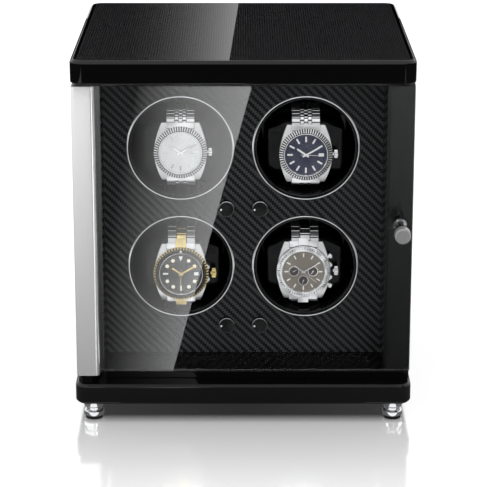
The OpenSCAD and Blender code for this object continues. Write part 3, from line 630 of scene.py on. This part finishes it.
def watch_case(guard):
    """Middle case and lugs: the flanks narrow to the lugs, which turn down towards their tips."""
    def flank(y):
        bump = guard * max(0, 1 - abs(abs(y) - 5) / 2.8)
        return BEZEL_R - (BEZEL_R - LUG_TIP[0]) * (abs(y) / LUG_TIP[1]) ** 1.8, bump

    rows = [LUG_TIP[1] * (1 - i / 20) for i in range(41)]
    right = [(flank(y)[0] + flank(y)[1], y) for y in rows]
    left = [(-flank(y)[0], y) for y in reversed(rows)]
    notch = [(LUG_GAP, LUG_TIP[1]), (LUG_GAP, END_LINK_Y), (-LUG_GAP, END_LINK_Y),
             (-LUG_GAP, LUG_TIP[1])]
    bm = extruded([(-x, -y) for x, y in notch] + left + notch[::-1] + right, CASE_LOW, CASE_TOP)
    bends = (10, 13, 15.5, 17.7, 20)
    for y in bends:
        for side in (-1, 1):
            bmesh.ops.bisect_plane(bm, geom=bm.verts[:] + bm.edges[:] + bm.faces[:],
                                   plane_co=(0, side * y, 0), plane_no=(0, 1, 0))
    for vertex in bm.verts:
        over = max(0, abs(vertex.co.y) - bends[0]) / (LUG_TIP[1] - bends[0])
        vertex.co.z -= 3.4 * over ** 1.6 * (1 if vertex.co.z > -6 else 0.35)
    return soften(bm, sharp(bm, 60), 0.45, 2)


def bezel_ribs(count, inner, outer, z_in, z_out, part):
    """Ribs round a bezel's slope, between two radii; each fills a part of its step."""
    middle_r, middle_z = (inner + outer) / 2, (z_in + z_out) / 2
    width = math.tau * middle_r / count * part
    length = math.hypot(outer - inner, z_in - z_out)
    rib = block(width, length, 0.9, (0, 0, -0.45))
    soften(rib, [e for e in along(rib, 1) if e.verts[0].co.z > -0.1], width * 0.3, 2)
    lean = Matrix.Rotation(math.atan2(z_out - z_in, outer - inner), 4, "X")
    return repeated(rib, [clock(i * 360 / count, middle_r, middle_z) @ lean for i in range(count)])


def crown(radius, start, length):
    """A winding crown along x, with a flute at every other step."""
    steps, flute = 44, 0.9
    bm = turned([(0, 0), (1.4, 0), (1.4, 0.8), (radius - 0.4, 0.8), (radius, 1.2),
                 (radius, length - 0.5), (radius - 0.5, length), (0, length)], steps)
    for vertex in bm.verts:
        odd = round(math.atan2(vertex.co.y, vertex.co.x) / math.tau * steps) % 2
        if odd and vertex.co.xy.length > radius - 0.45:
            vertex.co.xy *= flute
    bm.transform(Matrix.Translation((start, 0, STEM_Z)) @ Matrix.Rotation(math.radians(90), 4, "Y"))
    return bm


def pusher(degrees, reach):
    """A round push-piece on a stem, beside the crown."""
    bm = turned([(0, -3), (1.3, -3), (1.3, 0.2), (2.3, 0.2), (2.4, 0.6), (2.4, 2.2), (2.0, 2.7),
                 (0, 2.8)], 32)
    bm.transform(clock(degrees, reach, STEM_Z) @ Matrix.Rotation(math.radians(-90), 4, "X"))
    return bm


def hand(length, width, tail, z, degrees):
    """A straight hand with a tapered tip."""
    bm = extruded([(-width / 2, -tail), (width / 2, -tail), (width / 2, length - width),
                   (width / 6, length), (-width / 6, length), (-width / 2, length - width)],
                  0, 0.22)
    bm.transform(clock(degrees, 0, z))
    return bm


def hand_set(hour, minute, seconds, degrees, hub):
    """Three hands, each from its length, width and tail, at ten past ten and an angle, on a hub."""
    bm = bmesh.new()
    for sizes, z, angle in zip((hour, minute, seconds), HAND_Z, (*TEN_TEN, degrees)):
        stamp(bm, hand(*sizes, z, angle))
    return stamp(bm, turned([(0, -1.7), (hub, -1.7), (hub, -0.75), (0, -0.7)], 20))


def bezel_marks(marks, width, edge, way, z, lean):
    """Flat marks on a bezel's slope, each of an angle and a length, from an edge inwards (-1) or
    outwards (1)."""
    bm = bmesh.new()
    tilt = Matrix.Rotation(-math.radians(lean), 4, "X")
    for degrees, length in marks:
        stamp(bm, block(width, length, 0.2), clock(degrees, edge + way * length / 2, z) @ tilt)
    return bm


def batons(hours, width, start, end, height=0.4):
    """Applied hour markers between two radii."""
    mark = block(width, end - start, height)
    soften(mark, [e for e in sharp(mark, 80) if all(v.co.z > 0 for v in e.verts)], 0.15, 1)
    return repeated(mark, [clock(hour * HOUR, (start + end) / 2, DIAL_Z + height / 2)
                           for hour in hours])


def dots(hours, radius, at_r, height):
    """Round hour markers."""
    mark = turned([(0, 0), (radius, 0), (radius, height - 0.12), (radius - 0.15, height),
                   (0, height)], 20)
    return repeated(mark, [clock(hour * HOUR, at_r, DIAL_Z) for hour in hours])


def bracelet_places(pitch):
    """Places at even steps round a bracelet's closed loop, apart from those inside the case."""
    rise, run = 2 * (LOOP_UP - LOOP_R), 2 * (LOOP_BACK - LOOP_R)
    arc = (LOOP_R * math.pi / 2, 1 / LOOP_R)
    runs = 2 * [(rise, 0), arc, (run, 0), arc]
    total = sum(length for length, bend in runs)
    count = round(total / pitch)
    for i in range(count):
        left, up, back, heading = i * total / count, -rise / 2, 0.0, 0.0
        for length, bend in runs:
            step = min(left, length)
            if bend:
                up += (math.sin(heading + bend * step) - math.sin(heading)) / bend
                back += (math.cos(heading) - math.cos(heading + bend * step)) / bend
                heading += bend * step
            else:
                up += math.cos(heading) * step
                back += math.sin(heading) * step
            left -= step
        if back > CASE_DEEP or abs(up) > CASE_HALF:
            yield (Matrix.Translation(LOOP_AT) @ Matrix.Translation((0, up, LOOP_BACK - back))
                   @ Matrix.Rotation(-heading, 4, "X"))


def bracelet(pitch, columns):
    """Rows of links; a column is its middle, width, shift along the row and rounding."""
    row = bmesh.new()
    for x, width, shift, rounding in columns:
        link = block(width - 0.12, pitch - 0.18, 2.8)
        soften(link, [e for e in along(link, 0) if e.verts[0].co.z > 0], rounding, 3)
        soften(link, sharp(link, 60), 0.2, 1)
        stamp(row, link, Matrix.Translation((x, shift * pitch, 0)))
    return repeated(row, bracelet_places(pitch))


def end_links(width, reach, top):
    """The solid pieces that fill the gap between the lugs and turn down with them."""
    bm = bmesh.new()
    for side in (-1, 1):
        link = block(width - 0.15, reach - END_LINK_Y, 4.2)
        soften(link, sharp(link, 80), 0.4, 2)
        stamp(bm, link, Matrix.Translation((0, side * (reach + END_LINK_Y) / 2, top - 2.1))
              @ Matrix.Rotation(-side * math.radians(14), 4, "X"))
    return bm


ROUND_DIAL = [(0, DIAL_Z - 0.8), (DIAL_R, DIAL_Z - 0.8), (DIAL_R, DIAL_Z), (0, DIAL_Z)]
REHAUT = [(15.4, DIAL_Z + 0.02), (DIAL_R + 0.1, -0.8), (DIAL_R + 0.4, -0.8),
          (DIAL_R + 0.4, DIAL_Z + 0.02)]
CRYSTAL = [(DIAL_R + 0.1, -0.75), (DIAL_R - 0.1, -0.4), (DIAL_R - 0.7, -0.22), (0, -0.1)]
FLUTED = [(16.2, -3.6), (20.1, -3.6), (20.1, -2.7), (17.2, -1.1), (17.2, -0.8), (16.7, -0.6),
          (16.3, -0.8)]
SMOOTH = [(16.2, -3.6), (20.3, -3.6), (20.6, -2.8), (20.3, -2.1), (19.6, -1.75), (19.4, -1.85),
          (19.2, -1.65), (16.9, -0.8), (16.4, -0.7), (16.2, -0.9)]
COIN_EDGE = [(18.9, -3.6), (20.5, -3.6), (20.5, -2.4), (19.5, -1.9), (19.5, -1.4), (19.2, -1.3),
             (18.9, -1.5)]
INSERT = [(16.2, -2.4), (19.2, -2.4), (19.2, -1.55), (16.6, -0.75), (16.2, -0.9)]
BEZEL_RIM = [(16.1, -2), (16.9, -2), (16.9, -0.75), (16.6, -0.5), (16.3, -0.6), (16.1, -0.8)]
BRACELET_AT = (0, -5)
WIDE_SIDES = [(-7.1, 6.5, 0, 0.5), (7.1, 6.5, 0, 0.5)]
WIDE_CENTRE = [(0, 7.5, 0.5, 0.8)]


def draw_watch(name, lies, grow, guard, dial, trim, crown_size, pieces):
    """Draws one watch; its head lies a little off the middle of its bracelet."""
    parts = {
        "case": (watch_case(guard), brushed_steel),
        "dial": (turned(ROUND_DIAL, 96), dial),
        "rehaut": (turned(REHAUT, 96, closed=True), polished_steel),
        "crystal": (turned(CRYSTAL, 96), watch_crystal),
        "crown": (crown(*crown_size), trim),
        **pieces,
    }
    for part, (bm, finish) in parts.items():
        bm.transform(Matrix.Diagonal((grow, grow, 1, 1)))
        across, up = BRACELET_AT if part in ("side_links", "bead_links", "centre_links") else lies
        new_piece("watch_%s_%s" % (name, part), bm, "holder_" + name, finish,
                  at=station(name) + Vector((across, 0, up)), facing=True, smooth=30,
                  stands_for=["watch_" + name] if part == "case" else ())


def dress_pieces(dial_mark):
    """Pieces of a dress watch: fluted bezel, batons and a bracelet of five columns."""
    beads = [(0, 2.9, 0, 0.9), (-2.95, 2.9, 0.5, 0.9), (2.95, 2.9, 0.5, 0.9)]
    sides = [(-7.6, 6.3, 0, 0.6), (7.6, 6.3, 0, 0.6)]
    hands = hand_set((8.6, 1.4, 2.6), (12.8, 1.25, 2.8), (13.2, 0.3, 4), 92, 0.9)
    without_date = [hour for hour in HOURS if hour != 3]
    return {
        # the bezel's body under the flutes: painted shade between them
        "bezel": (turned(FLUTED, 144, closed=True), rib_shade_and_scale_ink),
        "flutes": (bezel_ribs(64, 17, 20.3, -0.75, -2.5, 0.6), polished_steel),
        "bezel_rim": (turned(BEZEL_RIM, 144, closed=True), polished_steel),
        "markers": (batons(without_date, 1.35, 10.0, 14.2), dial_mark),
        "date": (block(4, 2.5, 0.3, (11.6, 0, DIAL_Z + 0.15)), luminous),
        "hands": (hands, dial_mark),
        "end_links": (end_links(2 * LUG_GAP, 22.5, -4.4), polished_steel),
        "side_links": (bracelet(3.3, sides), brushed_steel),
        "bead_links": (bracelet(3.3, beads), polished_steel),
    }


def diver_pieces():
    """Pieces of the diving watch: a ceramic bezel in a gold coin edge, and gold centre links."""
    ticks = bezel_marks([(hour * HOUR, 1.4 if hour % 2 else 2.6) for hour in range(1, 12)],
                        0.5, 18.9, -1, -1.45, 15)
    round_hours = [hour for hour in HOURS if hour % 3]
    lume = dots(round_hours, 1.25, 11.9, 0.45)
    stamp(lume, batons([6, 9], 1.4, 9.6, 13.6, 0.45))
    stamp(lume, extruded([(-1.6, 13.8), (1.6, 13.8), (0, 10)], DIAL_Z, DIAL_Z + 0.45))
    stamp(lume, turned([(0, 0), (0.9, 0), (0.7, 0.35), (0, 0.5)], 20), clock(0, 17.6, -1.2))
    return {
        # the bezel's body under the coin edge: painted shade between its ribs
        "bezel": (turned(COIN_EDGE, 144, closed=True), rib_shade_and_scale_ink),
        "coin_edge": (bezel_ribs(56, 19.1, 20.9, -1.2, -2.2, 0.5), polished_gold),
        "insert": (turned(INSERT, 120, closed=True), dark_ceramic),
        "ticks": (ticks, polished_gold),
        "marker_rims": (dots(round_hours, 1.6, 11.9, 0.3), polished_gold),
        "markers": (lume, luminous),
        "hands": (hand_set((8.4, 1.3, 1.8), (12.6, 1.25, 1.8), (12.8, 0.35, 4), 181, 1),
                  polished_gold),
        "date": (block(3.4, 2.4, 0.3, (11.6, 0, DIAL_Z + 0.15)), luminous),
        "end_links": (end_links(2 * LUG_GAP, 22.8, -4.8), polished_steel),
        "end_centre": (end_links(8.2, 26.2, -4.3), polished_gold),
        "side_links": (bracelet(4.6, WIDE_SIDES), brushed_steel),
        "centre_links": (bracelet(4.6, WIDE_CENTRE), polished_gold),
    }


def chronograph_pieces():
    """Pieces of the chronograph: three small dials, two pushers and a steel bezel with a scale."""
    counters, counter_rims, counter_hands = bmesh.new(), bmesh.new(), bmesh.new()
    for x, y, degrees in ((-7.2, 0.2, 60), (7.2, 0.2, 215), (0, -7, 200)):
        here = Matrix.Translation((x, y, DIAL_Z))
        stamp(counters, turned([(0, -0.1), (3.6, -0.1), (3.6, 0.08), (0, 0.06)], 48), here)
        stamp(counter_rims, turned([(3.4, 0), (3.9, 0), (3.9, 0.16), (3.4, 0.16)], 48, closed=True),
              here)
        stamp(counter_hands, hand(2.7, 0.45, 0.8, 0.2, degrees), here)
        stamp(counter_hands, turned([(0, 0), (0.5, 0), (0.5, 0.5), (0, 0.5)], 16), here)
    hands = hand_set((8.4, 1.0, 1.8), (12.2, 0.95, 1.8), (13.0, 0.3, 4), 130, 0.9)
    stamp(hands, counter_hands)
    scale = bezel_marks([((i + 0.5) * MINUTE, 0.9 if i % 5 else 1.7) for i in range(60)],
                        0.42, 17.7, 1, -1.22, 17)
    return {
        "bezel": (turned(SMOOTH, 144, closed=True), polished_steel),
        "scale": (scale, rib_shade_and_scale_ink),
        "markers": (batons(HOURS, 1.0, 11.4, 14.4), luminous),
        "counters": (counters, dark_silk),
        "counter_rims": (counter_rims, polished_steel),
        "hands": (hands, polished_steel),
        "pushers": (stamp(pusher(60, 22.2), pusher(120, 22.2)), polished_steel),
        "end_links": (end_links(2 * LUG_GAP, 22.8, -4.8), polished_steel),
        "end_centre": (end_links(8.2, 25.4, -4.3), polished_steel),
        "side_links": (bracelet(4.6, WIDE_SIDES), brushed_steel),
        "centre_links": (bracelet(4.6, WIDE_CENTRE), polished_steel),
    }


draw_watch("upper_left", (0, -4.2), 1.02, 0, white_dial, polished_steel,
           (3.1, 20.4, 3.8), dress_pieces(polished_steel))
draw_watch("upper_right", (0, -5.9), 1.02, 0, blue_dial, polished_steel,
           (3.2, 20.4, 4.0), dress_pieces(luminous))
draw_watch("lower_left", (-0.4, -7), 1.04, 2.6, black_dial, polished_gold,
           (3.8, 22.4, 4.2), diver_pieces())
draw_watch("lower_right", (-1.2, -5.2), 1.04, 2.6, grey_dial, polished_steel,
           (3.5, 22.4, 4.0), chronograph_pieces())


# ---------------- setting dials

RIM_BEVEL = 0.45
DOT_AT = (264, 4.3)


def setting_dial(name):
    """A turned dial with a bright bevelled rim, a dished face and a white dot near nine o'clock."""
    low, high = node_box("dial_" + name)
    radius = (high.x - low.x) / 2
    middle = (low + high) / 2
    top = panel_front - low.y
    stem = panel_front - high.y
    rim = radius - RIM_BEVEL
    dish = [(rim * (1 - i / 6) * 0.94, top - 0.75 + 0.65 * (1 - i / 6) ** 2) for i in range(7)]
    profile = [(0, stem), (3, stem), (3, 0.4), (radius, 0.4), (radius, top - 0.65),
               (rim, top - 0.15), (rim - 0.15, top - 0.1)] + dish
    bm = turned(profile, 72)
    at = (middle.x, panel_front, middle.z)
    new_piece("dial_%s_turned" % name, bm, "setting_dial_" + name, gloss_abs, at=at,
              facing=True, smooth=50, stands_for=["dial_" + name])
    bevel = turned([(radius + 0.04, top - 0.7), (radius + 0.04, top - 0.6), (rim + 0.04, top - 0.1),
                    (rim - 0.04, top - 0.1), (rim - 0.04, top - 0.3)], 96, closed=True)
    new_piece("dial_%s_bevel" % name, bevel, "setting_dial_" + name, black_chrome,
              at=at, facing=True, smooth=20)
    dot = turned([(0, -0.4), (0.75, -0.4), (0.75, 0.05), (0.6, 0.12), (0, 0.14)], 24)
    dot.transform(clock(*DOT_AT, top - 0.35))
    new_piece("dial_%s_dot" % name, dot, "setting_dial_" + name, white_ink, at=at,
              facing=True)


for name in STATIONS:
    setting_dial(name)


# ---------------- solids kept as they are

KEPT = {
    lacquer: ["side_panel_right", "back_panel"],
    lid_weave: ["lid_inlay"],
    twill: ["rotor_panel"],
    textured_abs: ["drive_chassis"],
    cover_abs: ["rear_cover"],
    black_steel: ["rear_cover_screws", "pivot_lower", "pivot_upper"],
    rubber: ["foot_pads", "door_bumpers", "drive_belts"],
    zinc_steel: ["plinth_screws", "chassis_screws", "rotor_screws", "knob_screw", "rotor_spindles"]
                + ["motor_" + name for name in STATIONS],
    nickel: ["catch_magnet", "strike_plate"],
    gloss_abs: ["power_inlet"],
    black_strip: ["handle_strip"],
    solder_mask: ["control_board"],
    blue_nylon: ["dial_switches"],
    turned_brass: ["pulley_" + name for name in STATIONS],
}
for finish, nodes in KEPT.items():
    for node in nodes:
        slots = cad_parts[node].data.materials
        slots.clear()
        slots.append(finish)


# ---------------- studio

def stage_plane(name, corners, material):
    """A flat stage piece through four corners, in millimetres."""
    bm = bmesh.new()
    bm.faces.new([bm.verts.new(Vector(corner) * MM) for corner in corners])
    plane = new_object(name, bm, material)
    return plane


def upright(y, x0, x1, z0, z1):
    """The corners of an upright card whose front faces the back of the room."""
    return [(x0, y, z0), (x0, y, z1), (x1, y, z1), (x1, y, z0)]


def flank(x, y0, y1, z0, z1):
    """The corners of an upright card whose front faces right where y1 is further back than y0."""
    return [(x, y0, z0), (x, y1, z0), (x, y1, z1), (x, y0, z1)]


def level(z, x0, x1, y0, y1):
    """The corners of a flat card whose front faces up where y1 is further back than y0."""
    return [(x0, y0, z), (x1, y0, z), (x1, y1, z), (x0, y1, z)]


# The floor, in metres: the plinth's front edge, how much further out its sides are, where the
# mirror image ends, how far past a corner it fades and how far under the box the painted shadow
# deepens, and where mirrors see the floor white
FRONT_EDGE, WIDER = 0.106, 0.023
MIRROR_END, CORNER_FADE, UNDER_FADE = 0.37, 0.1, 0.018
WHITE_FROM = 1.2
FLOOR_HALF = 3000


def studio_floor():
    """A pale glossy floor: white to the camera, with the object's shadow and its fading mirror
    image. The shadow is partly real, in the matt share, and partly painted: under the box the
    mirror share is raised by position, which hides the floor's glow. Mirrors see it with painted
    shade: dim near the object and white further out."""
    material, tree, shader = new_finish("white_acrylic_floor", "#e0e0e0", 0.0, 0.4)
    coords = add_node(tree, "TexCoord").outputs["Object"]
    axes = add_node(tree, "SeparateXYZ", {"Vector": coords})
    reach = [maths(tree, "ABSOLUTE", axes.outputs[axis]) for axis in "XY"]
    across = maths(tree, "SUBTRACT", reach[0], WIDER)
    less = maths(tree, "MINIMUM", across, reach[1])
    corner = mapped(tree, less, (0.0, 0.5), (FRONT_EDGE, FRONT_EDGE + CORNER_FADE))
    out = maths(tree, "ADD", maths(tree, "MAXIMUM", across, reach[1]), corner)
    near = mapped(tree, out, (0.0, 0.54), (MIRROR_END, FRONT_EDGE))
    # painted shadow under the box: the mirror share rises by position there and hides the floor's
    # glow
    under = mapped(tree, out, (0.0, 0.42), (FRONT_EDGE, FRONT_EDGE - UNDER_FADE))
    glow = add_node(tree, "Emission", {"Color": WHITE, "Strength": 0.6})
    matt = add_node(tree, "BsdfDiffuse", {"Color": linear("#c8c8c8")})
    white = add_node(tree, "AddShader", {0: glow, 1: matt})
    mirror = add_node(tree, "BsdfGlossy", {"Color": WHITE, "Roughness": 0.1})
    mirrored = maths(tree, "ADD", near, under)
    to_camera = add_node(tree, "MixShader", {0: mirrored, 1: white, 2: mirror})
    # painted shade for mirrors: the floor is dim near the object and white further out
    away = add_node(tree, "VectorMath", {0: coords}, operation="LENGTH").outputs["Value"]
    dim = mapped(tree, away, (0.0, 1.0), (0.0, WHITE_FROM))
    to_mirrors = add_node(tree, "Emission", {"Color": WHITE, "Strength": dim})
    rays = add_node(tree, "LightPath").outputs
    first = add_node(tree, "MixShader", {0: rays["Is Glossy Ray"], 1: shader, 2: to_mirrors})
    show(tree, add_node(tree, "MixShader", {0: rays["Is Camera Ray"], 1: first, 2: to_camera}))
    stage_plane("floor", level(0, -FLOOR_HALF, FLOOR_HALF, -FLOOR_HALF, FLOOR_HALF), material)


def line_distance(tree, axes, line):
    """How far right of a straight line from (x, z) to (x, z) a point lies, in metres."""
    (x0, z0), (x1, z1) = line
    lean = (x1 - x0) / (z1 - z0)
    back = maths(tree, "MULTIPLY_ADD", axes.outputs["Z"], -lean, (lean * z0 - x0) * MM)
    return maths(tree, "ADD", axes.outputs["X"], back)


def light_band(tree, coords, strength, edge, fade, power, foot):
    """Light that grows from a fade line to a hard edge, by a power that differs with height, and is
    weaker at the foot."""
    axes = add_node(tree, "SeparateXYZ", {"Vector": coords})
    risen = line_distance(tree, axes, fade)
    left = maths(tree, "SUBTRACT", risen, line_distance(tree, axes, edge))
    part = maths(tree, "DIVIDE", risen, left, use_clamp=True)
    lit = maths(tree, "LESS_THAN", part, 0.9999)
    span = sorted(z * MM for x, z in edge)
    bend = mapped(tree, axes.outputs["Z"], power, span)
    peak = mapped(tree, axes.outputs["Z"], (strength * foot, strength), span)
    ramp = maths(tree, "MULTIPLY", maths(tree, "POWER", part, bend), lit)
    return maths(tree, "MULTIPLY", ramp, peak)


def studio_card(name, corners, strength, band=None, inside=False, reach=0.0):
    """A card that only mirrors see, and only from its front.

    One with a reach in metres isn't seen in mirrors further away, so that the floor hides it from
    the sides. Cards inside the box are dappled, so that metal shows light and dark, and only they
    show in what stands behind the glass."""
    material, tree, shader = new_finish(name, "#000000")
    tree.nodes.remove(shader)
    glow = add_node(tree, "Emission", {"Color": WHITE, "Strength": strength})
    coords = add_node(tree, "TexCoord").outputs["Object"]
    rays = add_node(tree, "LightPath").outputs
    hidden = add_node(tree, "NewGeometry").outputs["Backfacing"]
    if band:
        light = light_band(tree, coords, strength, **band)
        tree.links.new(light.outputs[0], glow.inputs["Strength"])
    if inside:
        dapple = add_node(tree, "TexNoise", {"Vector": coords, "Scale": 55.0, "Detail": 1.0})
        light = mapped(tree, dapple, (0.45 * strength, strength), (0.38, 0.62))
        tree.links.new(light.outputs[0], glow.inputs["Strength"])
    else:
        behind_glass = maths(tree, "GREATER_THAN", rays["Transparent Depth"], 2.5)
        hidden = maths(tree, "MAXIMUM", hidden, behind_glass)
    if reach:
        beyond = maths(tree, "GREATER_THAN", rays["Ray Length"], reach)
        hidden = maths(tree, "MAXIMUM", hidden, beyond)
    clear = add_node(tree, "BsdfTransparent")
    show(tree, add_node(tree, "MixShader", {0: hidden, 1: glow, 2: clear}))
    card = stage_plane(name, corners, material)
    for way in ("camera", "diffuse", "transmission", "volume_scatter", "shadow"):
        setattr(card, "visible_" + way, False)


def soft_light(name, at, target, size, power):
    """A rectangular soft light, which mirrors don't show."""
    light = bpy.data.lights.new(name, "AREA")
    light.shape = "RECTANGLE"
    light.size, light.size_y = size
    light.energy = power
    lamp = bpy.data.objects.new(name, light)
    lamp.location = at
    lamp.rotation_euler = (Vector(target) - Vector(at)).to_track_quat("-Z", "Y").to_euler()
    lamp.visible_glossy = False
    scene.collection.objects.link(lamp)


# The bands of light on the two front cards, in millimetres: hard edge and fade line, each from its
# top or foot as (x, z), the powers at foot and top, and the share of light at the foot
DOOR_BAND = dict(edge=((6.9, 242.0), (-57.6, 2.5)), fade=((-83.5, 242.0), (-133.5, 2.5)),
                 power=(2.0, 0.75), foot=0.68)
LID_BAND = dict(edge=((-4.0, 298.2), (-12.3, 349.8)), fade=((-124.0, 298.2), (-132.3, 349.8)),
                power=(3.1, 3.1), foot=1)
FRONT_CARDS_Y = panel_front - 143
SIDE_CARDS_X = 142
FOOT_X, FOOT_CARD = 116, 20


def studio_cards():
    """What mirrors show: soft light cut off straight, dark flags round the lid and inner cards."""
    studio_card("door_card", upright(FRONT_CARDS_Y, -113.5, 140, 0.5, 243.5), 3.3, DOOR_BAND,
                reach=0.14)
    wide = SIDE_CARDS_X
    studio_card("lid_front_card", upright(FRONT_CARDS_Y, -wide, wide, 245, 275), 0.0)
    studio_card("lid_left_card", flank(-wide, FRONT_CARDS_Y, 140, 262, 284), 0.02)
    studio_card("lid_right_card", flank(wide, 140, FRONT_CARDS_Y, 262, 284), 0.02)
    studio_card("lid_card", upright(199.5, -155, 158, 294, 352)[::-1], 0.64, LID_BAND)
    studio_card("right_flag", flank(520, -200, -1400, 0, 800), 0.05)
    for side in (-1, 1):
        middle = side * FOOT_X
        studio_card("foot_card_%d" % side,
                    level(0.4, middle - FOOT_CARD, middle + FOOT_CARD, -141, -106), 1.0)
    left, right, low, high, near, far = -108, 108, 40, 262, -91.5, panel_front - 2
    for name, corners, strength in (
            ("front", upright(near, left, right, low, high), 1.1),
            ("upper", level(high, left, right, far, near), 1.6),
            ("left", flank(left + 1, near, far, low + 20, high), 1.0),
            ("right", flank(right - 1, far, near, low + 20, high), 0.45),
            ("lower", level(low, left + 10, right - 10, near, far), 1.0)):
        studio_card(name + "_inner_card", corners, strength, inside=True)


studio_floor()
studio_cards()
world = bpy.data.worlds.new("white_studio")
scene.world = world
world.use_nodes = True
background = world.node_tree.nodes["Background"].inputs
background["Color"].default_value = WHITE
background["Strength"].default_value = 1.0
soft_light("key_light", (-0.9, -1.3, 1.4), (0, 0, 0.15), (1.0, 1.0), 8)
soft_light("fill_light", (1.1, -1.1, 1.1), (0, 0, 0.15), (1.0, 1.0), 3)
soft_light("low_light", (0.2, -1.5, 0.35), (0, 0, 0.08), (1.0, 0.5), 2)

# A long lens in front of the box, shifted so that uprights stay nearly upright
camera = bpy.data.objects.new("camera", bpy.data.cameras.new("camera"))
camera.location = (0, -1.5616, 0.5997)
camera.rotation_euler = (math.radians(90 - 15.97), 0, 0)
camera.data.lens = 149.9
camera.data.sensor_width = 36
camera.data.shift_x = 0.0006
camera.data.shift_y = -0.0996
scene.collection.objects.link(camera)
scene.camera = camera
scene.view_settings.view_transform = "Standard"
